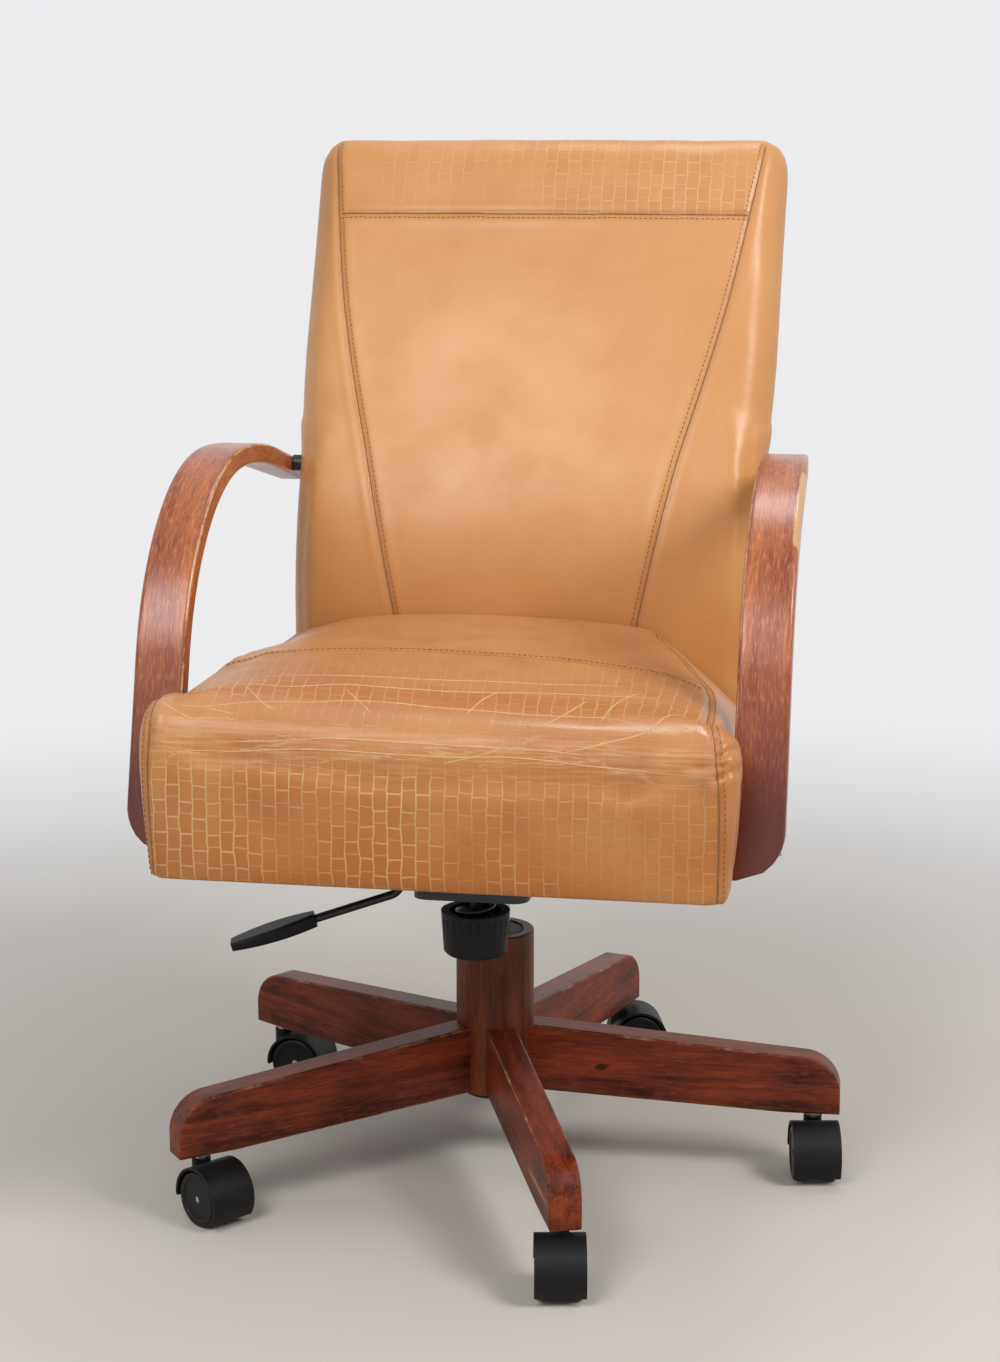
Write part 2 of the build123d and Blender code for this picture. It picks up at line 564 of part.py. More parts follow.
# Mechanism housing: a folded steel tray, open above, with the cone that the cylinder is pressed into.
LEVER_ROD_Z = CYLINDER_TOP + BUTTON_RISE + RUN + LEVER_ROD_DIAMETER / 2
HOUSING_EAR_TOP = PIVOT_Z + PIVOT_EAR_RADIUS
HOUSING_FRONT_TOP = PLATE_BOTTOM - RUN
LEVER_WALL_Y = -HOUSING_HALF_WIDTH * sin(radians(LEVER_ANGLE)) / cos(radians(LEVER_ANGLE))
with BuildPart() as mechanism_housing:
    with BuildSketch(Plane.YZ):
        with BuildLine():
            Polyline(
                (HOUSING_FRONT, HOUSING_BOTTOM),
                (HOUSING_FRONT, HOUSING_FRONT_TOP),
                (HOUSING_FRONT + 2 * HOUSING_CORNER_RADIUS, HOUSING_FRONT_TOP),
                (PIVOT_Y - PIVOT_EAR_RADIUS, HOUSING_EAR_TOP),
                (PIVOT_Y + PIVOT_EAR_RADIUS, HOUSING_EAR_TOP),
                (HOUSING_REAR, HOUSING_REAR_TOP),
                (HOUSING_REAR, HOUSING_BOTTOM),
                close=True,
            )
        make_face()
    extrude(amount=HOUSING_HALF_WIDTH, both=True)
    fillet(mechanism_housing.edges().filter_by(Axis.Z), HOUSING_CORNER_RADIUS)
    with BuildSketch(Plane.XY.offset(HOUSING_FLOOR)):
        with Locations((0, (HOUSING_FRONT + HOUSING_REAR) / 2)):
            RectangleRounded(
                2 * (HOUSING_HALF_WIDTH - HOUSING_WALL),
                HOUSING_REAR - HOUSING_FRONT - 2 * HOUSING_WALL,
                HOUSING_CORNER_RADIUS - HOUSING_WALL,
            )
    extrude(amount=HOUSING_FRONT_TOP, mode=Mode.SUBTRACT)
    with BuildSketch(Plane.XY.offset(HOUSING_BOTTOM - CONE_DROP)):
        Circle(CONE_DIAMETER / 2)
    extrude(amount=CYLINDER_TOP - HOUSING_BOTTOM + CONE_DROP)
    with BuildSketch(Plane.XY.offset(HOUSING_BOTTOM - CONE_DROP)):
        Circle(CYLINDER_DIAMETER / 2)
    extrude(amount=CYLINDER_TOP, mode=Mode.SUBTRACT)
    with BuildSketch(Plane.YZ):
        with Locations((PIVOT_Y, PIVOT_Z)):
            Circle(SHAFT_DIAMETER / 2 + PIN_FIT)
    extrude(amount=HOUSING_HALF_WIDTH, both=True, mode=Mode.SUBTRACT)
    with BuildSketch(Plane.XY.offset(HOUSING_BOTTOM)):
        with Locations((0, KNOB_Y + TENSION_SLOT_REACH / 2)):
            slot_width = TENSION_BOLT_DIAMETER + 2 * TENSION_SLOT_GAP
            SlotOverall(TENSION_SLOT_REACH + slot_width, slot_width, rotation=90)
    extrude(amount=HOUSING_WALL, mode=Mode.SUBTRACT)
    with BuildSketch(Plane.YZ.offset(-HOUSING_HALF_WIDTH)):
        with Locations((LEVER_WALL_Y, HOUSING_EAR_TOP)):
            Rectangle(LEVER_ROD_DIAMETER + 2 * LEVER_SLOT_GAP,
                      2 * (HOUSING_EAR_TOP - LEVER_ROD_Z) + LEVER_ROD_DIAMETER + 2 * LEVER_SLOT_GAP)
    extrude(amount=HOUSING_CORNER_RADIUS, mode=Mode.SUBTRACT)
save(mechanism_housing, "mechanism_housing")

# Pivot shaft: the headed pin that the seat plate rocks on.
EAR_INNER = HOUSING_HALF_WIDTH + FLAT_FIT
EAR_OUTER = EAR_INNER + PLATE_THICK
with BuildPart() as pivot_shaft:
    with BuildSketch(Plane.YZ):
        with Locations((PIVOT_Y, PIVOT_Z)):
            Circle(SHAFT_DIAMETER / 2)
    extrude(amount=EAR_OUTER, both=True)
    for side in (1, -1):
        with BuildSketch(Plane.YZ.offset(side * EAR_OUTER)):
            with Locations((PIVOT_Y, PIVOT_Z)):
                Circle(SHAFT_HEAD_DIAMETER / 2)
        extrude(amount=side * SHAFT_HEAD_THICK)
save(pivot_shaft, "pivot_shaft")

# Seat plate: a steel plate bolted under the seat board, with ears on the shaft and lugs for the tension bolt.
PLATE_BOLT_POINTS = [
    (side * PLATE_BOLT_X, depth) for side in (1, -1) for depth in (PLATE_BOLT_FRONT, PLATE_BOLT_REAR)
]
LUG_INNER = HANGER_EYE_WIDTH / 2 + FLAT_FIT
with BuildPart() as seat_plate:
    with BuildSketch(Plane.XY.offset(PLATE_BOTTOM)):
        with Locations((0, (PLATE_FRONT + PLATE_REAR) / 2)):
            RectangleRounded(2 * PLATE_HALF_WIDTH, PLATE_REAR - PLATE_FRONT, PLATE_CORNER_RADIUS)
        with Locations(*PLATE_BOLT_POINTS):
            Circle(SEAT_BOLT_DIAMETER / 2 + PIN_FIT, mode=Mode.SUBTRACT)
    extrude(amount=PLATE_THICK)
    for side in (1, -1):
        with BuildSketch(Plane.YZ.offset(side * EAR_INNER)):
            with Locations((PIVOT_Y, PIVOT_Z)):
                Circle(PIVOT_EAR_RADIUS)
            with Locations((PIVOT_Y, (PIVOT_Z + PLATE_BOTTOM) / 2)):
                Rectangle(2 * PIVOT_EAR_RADIUS, PLATE_BOTTOM - PIVOT_Z)
            with Locations((PIVOT_Y, PIVOT_Z)):
                Circle(SHAFT_DIAMETER / 2 + PIN_FIT, mode=Mode.SUBTRACT)
        extrude(amount=side * PLATE_THICK)
        with BuildSketch(Plane.YZ.offset(side * LUG_INNER)):
            with Locations((KNOB_Y, HANGER_Z)):
                Circle(HANGER_EYE_DIAMETER / 2)
            with Locations((KNOB_Y, (HANGER_Z + PLATE_BOTTOM) / 2)):
                Rectangle(HANGER_EYE_DIAMETER, PLATE_BOTTOM - HANGER_Z)
            with Locations((KNOB_Y, HANGER_Z)):
                Circle(HANGER_PIN_DIAMETER / 2 + PIN_FIT, mode=Mode.SUBTRACT)
        extrude(amount=side * HANGER_LUG_THICK)
save(seat_plate, "seat_plate")

# Hanger pin between the plate's lugs.
with BuildPart() as hanger_pin:
    with BuildSketch(Plane.YZ):
        with Locations((KNOB_Y, HANGER_Z)):
            Circle(HANGER_PIN_DIAMETER / 2)
    extrude(amount=LUG_INNER + HANGER_LUG_THICK, both=True)
save(hanger_pin, "hanger_pin")

# Tension bolt: hangs from the pin by its eye and runs down through the housing's slot, spring and knob.
KNOB_SEAT = KNOB_BOTTOM + KNOB_FLOOR_THICK
BOLT_BOTTOM = KNOB_BOTTOM - FLAT_FIT - TENSION_BOLT_PROUD
with BuildPart() as tension_bolt:
    with BuildSketch(Plane.YZ):
        with Locations((KNOB_Y, HANGER_Z)):
            Circle(HANGER_EYE_DIAMETER / 2)
    extrude(amount=HANGER_EYE_WIDTH / 2, both=True)
    with BuildSketch(Plane.XY.offset(HANGER_Z)):
        with Locations((0, KNOB_Y)):
            Circle(TENSION_BOLT_DIAMETER / 2)
    extrude(amount=BOLT_BOTTOM - HANGER_Z)
    with BuildSketch(Plane.YZ):
        with Locations((KNOB_Y, HANGER_Z)):
            Circle(HANGER_PIN_DIAMETER / 2 + PIN_FIT)
    extrude(amount=HANGER_EYE_WIDTH, both=True, mode=Mode.SUBTRACT)
save(tension_bolt, "tension_bolt")

# Tension knob: a fluted cup that holds the spring and screws up the bolt.
with BuildPart() as tension_knob:
    with BuildSketch(Plane.XY.offset(KNOB_BOTTOM)):
        with Locations((0, KNOB_Y)):
            Circle(KNOB_BASE_DIAMETER / 2)
    with BuildSketch(Plane.XY.offset(KNOB_TOP)):
        with Locations((0, KNOB_Y)):
            Circle(KNOB_DIAMETER / 2)
    loft()
    chamfer(tension_knob.faces().sort_by(Axis.Z)[0].edges(), KNOB_BOTTOM_CHAMFER)
    with BuildSketch(Plane.XY.offset(KNOB_SEAT)):
        with Locations((0, KNOB_Y)):
            Circle(KNOB_BASE_DIAMETER / 2 - KNOB_WALL)
    extrude(amount=KNOB_TOP - KNOB_SEAT, mode=Mode.SUBTRACT)
    with BuildSketch(Plane.XY.offset(KNOB_BOTTOM)):
        with Locations((0, KNOB_Y)):
            Circle(TENSION_BOLT_DIAMETER / 2 + PIN_FIT)
    extrude(amount=KNOB_FLOOR_THICK, mode=Mode.SUBTRACT)
    with BuildSketch(Plane.XY.offset(KNOB_TOP - KNOB_FLUTE_TOP_GAP)):
        with Locations((0, KNOB_Y)):
            with PolarLocations(KNOB_DIAMETER / 2, KNOB_FLUTES):
                Circle(KNOB_FLUTE_RADIUS)
    extrude(amount=KNOB_BOTTOM - KNOB_TOP, mode=Mode.SUBTRACT)
save(tension_knob, "tension_knob")


def helix_point(turn):
    """Point on the spring's centre line after a number of turns."""
    rise = SPRING_BOTTOM + turn * SPRING_PITCH
    x, y = polar(SPRING_MEAN_DIAMETER / 2, 360 * turn)
    return Vector(x, KNOB_Y + y, rise)


def helix_direction(turn):
    """Direction of the spring's centre line after a number of turns."""
    x, y = polar(pi * SPRING_MEAN_DIAMETER, 360 * turn + 90)
    return Vector(x, y, SPRING_PITCH).normalized()


def biarc(start, start_way, end, end_way):
    """Two tangent arcs from start to end."""
    chord = end - start
    spread = 2 * (1 - start_way.dot(end_way))
    along = chord.dot(start_way + end_way)
    reach = (sqrt(along ** 2 + spread * chord.dot(chord)) - along) / spread
    corner_a = start + start_way * reach
    corner_b = end - end_way * reach
    middle = (corner_a + corner_b) * 0.5
    TangentArc(start, middle, tangent=start_way)
    TangentArc(middle, end, tangent=corner_b - corner_a)


# Tilt spring: a compression coil between the knob's floor and the underside of the housing.
SPRING_BOTTOM = KNOB_SEAT + FLAT_FIT + SPRING_WIRE / 2
SPRING_PITCH = (HOUSING_BOTTOM - FLAT_FIT - SPRING_WIRE / 2 - SPRING_BOTTOM) / SPRING_TURNS
QUARTERS = 4 * SPRING_TURNS
with BuildPart() as tilt_spring:
    with BuildLine() as coil:
        for quarter in range(QUARTERS):
            turn_a = quarter / 4
            turn_b = (quarter + 1) / 4
            biarc(helix_point(turn_a), helix_direction(turn_a), helix_point(turn_b), helix_direction(turn_b))
    with BuildSketch(Plane(origin=helix_point(0), z_dir=helix_direction(0))):
        Circle(SPRING_WIRE / 2)
    sweep()
save(tilt_spring, "tilt_spring")
print("spring: least gap between turns", round(SPRING_PITCH - SPRING_WIRE, 2), "mm")
print("spring: swept volume over section times length",
      round(tilt_spring.part.volume / (pi * SPRING_WIRE ** 2 / 4 * coil.wires()[0].length), 4))

# Height lever: a bent rod over the release button, with a moulded paddle on its outer end.
lever_plane = upright_plane((0, 0, 0), LEVER_ANGLE)
LEVER_FALL = sin(radians(LEVER_SLOPE)) / cos(radians(LEVER_SLOPE))
lever_out = Vector(*polar(cos(radians(LEVER_SLOPE)), LEVER_ANGLE), -sin(radians(LEVER_SLOPE)))


def lever_height(reach):
    """Height of the lever's straight outer run at a distance from the column."""
    return LEVER_BEND_Z - (reach - LEVER_BEND_END) * LEVER_FALL


def lever_point(reach):
    """Point on the centre line of the lever's outer run."""
    return Vector(*polar(reach, LEVER_ANGLE), lever_height(reach))


with BuildPart() as lever_rod:
    with BuildLine(lever_plane):
        FilletPolyline(
            (LEVER_INNER_END, LEVER_ROD_Z),
            (LEVER_BEND_START, LEVER_ROD_Z),
            (LEVER_BEND_END, LEVER_BEND_Z),
            (LEVER_ROD_END, lever_height(LEVER_ROD_END)),
            radius=LEVER_BEND_RADIUS,
        )
    with BuildSketch(Plane(origin=lever_plane.from_local_coords((LEVER_INNER_END, LEVER_ROD_Z)),
                           z_dir=lever_plane.x_dir)):
        Circle(LEVER_ROD_DIAMETER / 2)
    sweep()
save(lever_rod, "lever_rod")

paddle_across = lever_plane.z_dir
with BuildPart() as lever_paddle:
    for reach, width, thick in (
        (PADDLE_START, PADDLE_NECK_WIDTH, PADDLE_THICK),
        ((2 * PADDLE_START + PADDLE_END) / 3, PADDLE_WIDTH, PADDLE_THICK),
        (PADDLE_END, PADDLE_WIDTH - PADDLE_TIP_THICK, PADDLE_TIP_THICK),
    ):
        with BuildSketch(Plane(origin=lever_point(reach), x_dir=paddle_across, z_dir=lever_out)):
            RectangleRounded(width, thick, PADDLE_EDGE_RADIUS)
    loft()
    with BuildSketch(Plane(origin=lever_point(PADDLE_START), x_dir=paddle_across, z_dir=lever_out)):
        Circle(LEVER_ROD_DIAMETER / 2 + PIN_FIT)
    extrude(amount=(LEVER_ROD_END - PADDLE_START) / cos(radians(LEVER_SLOPE)) + PIN_FIT, mode=Mode.SUBTRACT)
save(lever_paddle, "lever_paddle")

# Seat board: plywood, recessed into the cushion's underside and run back under the backrest.
with BuildPart() as seat_board:
    with BuildSketch(Plane.XY.offset(BOARD_BOTTOM)):
        with Locations((0, (BOARD_FRONT + BOARD_REAR) / 2)):
            Rectangle(2 * BOARD_HALF_WIDTH, BOARD_REAR - BOARD_FRONT)
        with Locations(*PLATE_BOLT_POINTS):
            Circle(SEAT_BOLT_DIAMETER / 2 + PIN_FIT, mode=Mode.SUBTRACT)
    extrude(amount=BOARD_THICK)
save(seat_board, "seat_board")

# Side rails: hardwood strips on the board that the arms are bolted to.
ARM_RUN = hypot(ARM_BEND_Y - ARM_FOOT_Y, ARM_BEND_Z - ARM_FOOT_Z)
ARM_LEAN_Y = (ARM_BEND_Y - ARM_FOOT_Y) / ARM_RUN
ARM_LEAN_Z = (ARM_BEND_Z - ARM_FOOT_Z) / ARM_RUN
LOWER_BOLT_POINTS = [
    (ARM_FOOT_Y + (height - ARM_FOOT_Z) * ARM_LEAN_Y / ARM_LEAN_Z + ARM_THICK / 2 / ARM_LEAN_Z, height)
    for height in ARM_LOWER_BOLT_HEIGHTS
]
with BuildPart() as seat_rails:
    for side in (1, -1):
        with BuildSketch(Plane.XY.offset(BOARD_TOP)):
            with Locations((side * (BOARD_HALF_WIDTH - RAIL_THICK / 2), (BOARD_FRONT + RAIL_REAR) / 2)):
                Rectangle(RAIL_THICK, RAIL_REAR - BOARD_FRONT)
        extrude(amount=RAIL_HEIGHT)
    with BuildSketch(Plane.YZ):
        with Locations(*LOWER_BOLT_POINTS):
            Circle(ARM_BOLT_DIAMETER / 2 + PIN_FIT)
    extrude(amount=BOARD_HALF_WIDTH, both=True, mode=Mode.SUBTRACT)
save(seat_rails, "seat_rails")

# Dust cover: black cloth stapled under the board, cut out round the seat plate.
with BuildPart() as dust_cover:
    with BuildSketch(Plane.XY.offset(BOARD_BOTTOM - COVER_THICK)):
        with Locations((0, (BOARD_FRONT + BOARD_REAR) / 2)):
            Rectangle(2 * BOARD_HALF_WIDTH, BOARD_REAR - BOARD_FRONT)
        with Locations((0, (PLATE_FRONT + PLATE_REAR) / 2)):
            RectangleRounded(2 * (PLATE_HALF_WIDTH + RUN), PLATE_REAR - PLATE_FRONT + 2 * RUN,
                             PLATE_CORNER_RADIUS, mode=Mode.SUBTRACT)
    extrude(amount=COVER_THICK)
save(dust_cover, "dust_cover")

# Bolts that hold the plate to the board.
with BuildPart() as seat_bolts:
    with BuildSketch(Plane.XY.offset(PLATE_BOTTOM)):
        with Locations(*PLATE_BOLT_POINTS):
            Circle(SEAT_BOLT_HEAD_DIAMETER / 2)
    extrude(amount=-SEAT_BOLT_HEAD_HEIGHT)
    with BuildSketch(Plane.XY.offset(PLATE_BOTTOM)):
        with Locations(*PLATE_BOLT_POINTS):
            Circle(SEAT_BOLT_DIAMETER / 2)
    extrude(amount=PLATE_THICK + BOARD_THICK - RUN)
save(seat_bolts, "seat_bolts")


def back_point(run, depth):
    """Depth and height of a point: run up the back's middle line, depth towards the sitter."""
    turn = min(max((run - BACK_LOWER_RUN) / BACK_MID_RADIUS, 0), radians(BACK_RECLINE))
    radius = BACK_MID_RADIUS + depth
    straight = min(run, BACK_LOWER_RUN) - BACK_LOWER_RUN + max(run - BACK_LOWER_RUN - BACK_ARC_RUN, 0)
    y = BACK_ARC_CENTRE_Y - radius * cos(turn) + straight * sin(turn)
    z = BACK_BEND_Z + radius * sin(turn) + straight * cos(turn)
    return (y, z)


def back_plane(run):
    """Plane across the back, square to its middle line: local x is +X, local y points at the sitter."""
    turn = min(max((run - BACK_LOWER_RUN) / BACK_MID_RADIUS, 0), radians(BACK_RECLINE))
    return Plane(origin=(0, *back_point(run, 0)), x_dir=(-1, 0, 0), z_dir=(0, sin(turn), cos(turn)))


def back_section(run, half_width, half_thick):
    """Pillow outline across the back: crowned front and rear, sides drawn in towards both."""
    draw = BACK_SIDE_DRAW * half_thick / BACK_HALF_THICK
    edge = half_thick - BACK_CROWN * half_thick / BACK_HALF_THICK
    with BuildSketch(back_plane(run)) as section:
        with BuildLine():
            ThreePointArc((half_width - draw, edge), (0, half_thick), (draw - half_width, edge))
            ThreePointArc((draw - half_width, edge), (-half_width, 0), (draw - half_width, -edge))
            ThreePointArc((draw - half_width, -edge), (0, -half_thick), (half_width - draw, -edge))
            ThreePointArc((half_width - draw, -edge), (half_width, 0), (half_width - draw, edge))
        make_face()
    return section.sketch


def back_band(depth_front, depth_rear, run_low, run_high):
    """Side outline of a layer that follows the back's bend between two depths."""
    bend_low = BACK_LOWER_RUN
    bend_mid = BACK_LOWER_RUN + BACK_ARC_RUN / 2
    bend_high = BACK_LOWER_RUN + BACK_ARC_RUN
    with BuildSketch(Plane.YZ) as band:
        with BuildLine():
            for depth in (depth_front, depth_rear):
                Line(back_point(run_low, depth), back_point(bend_low, depth))
                ThreePointArc(*[back_point(bend, depth) for bend in (bend_low, bend_mid, bend_high)])
                Line(back_point(bend_high, depth), back_point(run_high, depth))
            Line(back_point(run_low, depth_front), back_point(run_low, depth_rear))
            Line(back_point(run_high, depth_front), back_point(run_high, depth_rear))
        make_face()
    return band.sketch


# Back board: bent plywood on the middle line, standing against the seat board's rear edge.
BACK_BOARD_FRONT = BACK_BOARD_THICK / 2
BACK_BOARD_LOW = BOARD_BOTTOM - BACK_BOTTOM
REAR_BOLT_RUN = BACK_LOWER_RUN + BACK_ARC_RUN
REAR_BOLT_POINT = back_point(REAR_BOLT_RUN, 0)
with BuildPart() as back_board:
    extrude(back_band(BACK_BOARD_FRONT, -BACK_BOARD_FRONT, BACK_BOARD_LOW, BACK_RUN - BACK_BOARD_TOP_GAP),
            amount=BOARD_HALF_WIDTH, both=True)
    with BuildSketch(Plane.YZ):
        with Locations(REAR_BOLT_POINT):
            Circle(ARM_BOLT_DIAMETER / 2 + PIN_FIT)
    extrude(amount=BOARD_HALF_WIDTH, both=True, mode=Mode.SUBTRACT)
save(back_board, "back_board")

# Steel angles that hold the back board up from the seat board.
with BuildPart() as back_brackets:
    with BuildSketch(Plane.YZ.offset(BRACKET_X)):
        with BuildLine():
            Polyline(
                (BOARD_REAR, BOARD_TOP),
                (BOARD_REAR, BOARD_TOP + BRACKET_LEG),
                (BOARD_REAR - BRACKET_THICK, BOARD_TOP + BRACKET_LEG),
                (BOARD_REAR - BRACKET_THICK, BOARD_TOP + BRACKET_THICK),
                (BOARD_REAR - BRACKET_FOOT, BOARD_TOP + BRACKET_THICK),
                (BOARD_REAR - BRACKET_FOOT, BOARD_TOP),
                close=True,
            )
        make_face()
    extrude(amount=BRACKET_WIDTH / 2, both=True)
    mirror(about=Plane.YZ)
save(back_brackets, "back_brackets")

# Backrest form: a pillow lofted up the bent middle line and closed by a rounded top edge.
BACK_ARM_RUN = BACK_LOWER_RUN + BACK_ARC_RUN
BACK_ROUND_RUN = BACK_RUN - BACK_TOP_LENGTH


def back_outline(run):
    """Section of the back at a run: full width above the arms, rounded off towards the top edge."""
    swell = min(max((run - BACK_ARM_RUN) / BACK_SWELL_LENGTH, 0), 1)
    top = max(run - BACK_ROUND_RUN, 0) / BACK_TOP_LENGTH
    fall = 1 - sqrt(1 - top ** 2)
    half_width = BACK_ARM_HALF_WIDTH + (BACK_HALF_WIDTH - BACK_ARM_HALF_WIDTH) * swell * (2 - swell)
    half_thick = BACK_HALF_THICK - (BACK_HALF_THICK - BACK_TOP_HALF_THICK) * fall
    return back_section(run, half_width - BACK_TOP_RADIUS * fall, half_thick)


BEND_STEPS = 5
SWELL_STEPS = 3
TOP_STEPS = 5
back_runs = [0]
back_runs += [BACK_LOWER_RUN + BACK_ARC_RUN * i / BEND_STEPS for i in range(BEND_STEPS + 1)]
back_runs += [BACK_ARM_RUN + BACK_SWELL_LENGTH * (i + 1) / SWELL_STEPS for i in range(SWELL_STEPS)]
back_runs += [
    BACK_ROUND_RUN + BACK_TOP_LENGTH * sin(radians(90 * i / TOP_STEPS)) for i in range(TOP_STEPS + 1)
]
with BuildPart() as back_form:
    loft([back_outline(run) for run in back_runs], ruled=True)

# Rear panel: the leather-covered board that closes the back from behind.
PANEL_LOW = BACK_PANEL_BOTTOM_GAP
PANEL_HIGH = BACK_RUN - BACK_PANEL_TOP_GAP
with BuildPart() as back_panel:
    add(back_form.part)
    extrude(back_band(-BACK_BOARD_FRONT, -2 * BACK_HALF_THICK, PANEL_LOW, PANEL_HIGH),
            amount=BACK_PANEL_HALF_WIDTH, both=True, mode=Mode.INTERSECT)
save(back_panel, "back_panel")

# Back cushion: the pillow with room for the board, the panel, the seat board, the angles and the arm spacers.
with BuildPart() as back_cushion:
    add(back_form.part)
    extrude(back_band(-BACK_BOARD_FRONT, -2 * BACK_HALF_THICK, PANEL_LOW, PANEL_HIGH),
            amount=BACK_PANEL_HALF_WIDTH, both=True, mode=Mode.SUBTRACT)
    extrude(back_band(BACK_BOARD_FRONT, -BACK_BOARD_FRONT, -BACK_HALF_THICK, BACK_RUN - BACK_BOARD_TOP_GAP),
            amount=BOARD_HALF_WIDTH, both=True, mode=Mode.SUBTRACT)
    with BuildSketch(Plane.XY.offset(BACK_BOTTOM - BOARD_THICK)):
        with Locations((0, BOARD_REAR - BACK_HALF_THICK)):
            Rectangle(2 * BOARD_HALF_WIDTH, 2 * BACK_HALF_THICK)
    extrude(amount=BOARD_TOP - BACK_BOTTOM + BOARD_THICK, mode=Mode.SUBTRACT)
    add(back_brackets.part, mode=Mode.SUBTRACT)
    with BuildSketch(Plane.YZ):
        with Locations(REAR_BOLT_POINT):
            Circle(ARM_SPACER_DIAMETER / 2 + PIN_FIT)
    extrude(amount=BACK_HALF_WIDTH, both=True, mode=Mode.SUBTRACT)
save(back_cushion, "back_cushion")


def seat_section(y, half_width, crest, crown):
    """Outline across the seat: flat below, sides swelling outward, rounded shoulders and a crowned top."""
    shoulder = crest - SEAT_CORNER_RADIUS
    inner = half_width - SEAT_CORNER_RADIUS
    lean = SEAT_CORNER_RADIUS * sqrt(0.5)
    foot = half_width - SEAT_HALF_WIDTH + SEAT_BASE_HALF_WIDTH
    swell = (SEAT_BOTTOM + shoulder) / 2
    with BuildSketch(Plane.XZ.offset(-y)) as section:
        with BuildLine():
            Line((-foot, SEAT_BOTTOM), (foot, SEAT_BOTTOM))
            ThreePointArc((foot, SEAT_BOTTOM), (half_width + SEAT_SIDE_SWELL, swell), (half_width, shoulder))
            ThreePointArc((half_width, shoulder), (inner + lean, shoulder + lean), (inner, crest))
            ThreePointArc((inner, crest), (0, crown), (-inner, crest))
            ThreePointArc((-inner, crest), (-inner - lean, shoulder + lean), (-half_width, shoulder))
            ThreePointArc((-half_width, shoulder), (-half_width - SEAT_SIDE_SWELL, swell), (-foot, SEAT_BOTTOM))
        make_face()
    return section.sketch


def seat_outline(y):
    """Section of the seat at a depth: rounded nose and corners, narrower beside the arms."""
    into = y - SEAT_FRONT
    nose = max(1 - into / SEAT_NOSE_RADIUS, 0)
    corner = max(1 - into / SEAT_FRONT_CORNER, 0)
    notch = min(max((y - ARM_NOTCH_Y + ARM_NOTCH_LENGTH) / ARM_NOTCH_LENGTH, 0), 1)
    half_width = SEAT_FRONT_HALF_WIDTH - SEAT_ARM_NOTCH * notch ** 2 * (3 - 2 * notch)
    half_width -= SEAT_FRONT_CORNER * (1 - sqrt(1 - corner ** 2))
    crest = SEAT_CREST - SEAT_NOSE_RADIUS * (1 - sqrt(1 - nose ** 2))
    reach = (y - SEAT_CROWN_Y) / (SEAT_FRONT - SEAT_CROWN_Y)
    rise = (SEAT_CROWN - SEAT_CREST) * (1 - reach ** 2) + SEAT_FRONT_CROWN * reach ** 2
    return seat_section(y, half_width, crest, crest + rise)


# Seat cushion: lofted from its rounded nose over the crown to the back, hollowed below for board and rails.
NOSE_STEPS = 5
NOTCH_STEPS = 3
CROWN_STEPS = 5
REST_STEPS = 2
seat_depths = [
    SEAT_FRONT + SEAT_NOSE_RADIUS * (1 - cos(radians(90 * i / NOSE_STEPS))) for i in range(NOSE_STEPS + 1)
]
NOTCH_START = SEAT_FRONT + SEAT_NOSE_RADIUS
seat_depths += [NOTCH_START + (ARM_NOTCH_Y - NOTCH_START) * (i + 1) / NOTCH_STEPS for i in range(NOTCH_STEPS)]
seat_depths += [
    ARM_NOTCH_Y + (SEAT_CROWN_Y - ARM_NOTCH_Y) * (i + 1) / CROWN_STEPS for i in range(CROWN_STEPS)
]
seat_depths += [SEAT_CROWN_Y + (SEAT_REAR - SEAT_CROWN_Y) * (i + 1) / REST_STEPS for i in range(REST_STEPS)]
with BuildPart() as seat_cushion:
    loft([seat_outline(y) for y in seat_depths], ruled=True)
    with BuildSketch(Plane.XY.offset(SEAT_BOTTOM)):
        with Locations((0, (BOARD_FRONT + BOARD_REAR) / 2)):
            Rectangle(2 * BOARD_HALF_WIDTH, BOARD_REAR - BOARD_FRONT)
    extrude(amount=BOARD_TOP - SEAT_BOTTOM, mode=Mode.SUBTRACT)
    for side in (1, -1):
        with BuildSketch(Plane.XY.offset(BOARD_TOP)):
            with Locations((side * (BOARD_HALF_WIDTH - RAIL_THICK / 2), (BOARD_FRONT + RAIL_REAR) / 2)):
                Rectangle(RAIL_THICK, RAIL_REAR - BOARD_FRONT)
        extrude(amount=RAIL_HEIGHT, mode=Mode.SUBTRACT)
    with BuildSketch(Plane.YZ):
        with Locations(*LOWER_BOLT_POINTS):
            Circle(ARM_SPACER_DIAMETER / 2 + PIN_FIT)
    extrude(amount=SEAT_FRONT_HALF_WIDTH, both=True, mode=Mode.SUBTRACT)
save(seat_cushion, "seat_cushion")

# Arms: bentwood strips from the seat's side up and over to the back, narrower towards the tail.
ARM_TAPER_LENGTH = ARM_TAPER_END - ARM_TAPER_START
ARM_TAPER_DRAW = ARM_WIDTH - ARM_TAIL_WIDTH
ARM_TAPER_RADIUS = (ARM_TAPER_LENGTH ** 2 + ARM_TAPER_DRAW ** 2) / (2 * ARM_TAPER_DRAW)


def arm_outer_face(y):
    """Distance from the middle of the chair to an arm's outer face at a depth."""
    into = max(y - ARM_TAPER_START, 0)
    return ARM_OUTER_X - ARM_TAPER_RADIUS + sqrt(ARM_TAPER_RADIUS ** 2 - into ** 2)


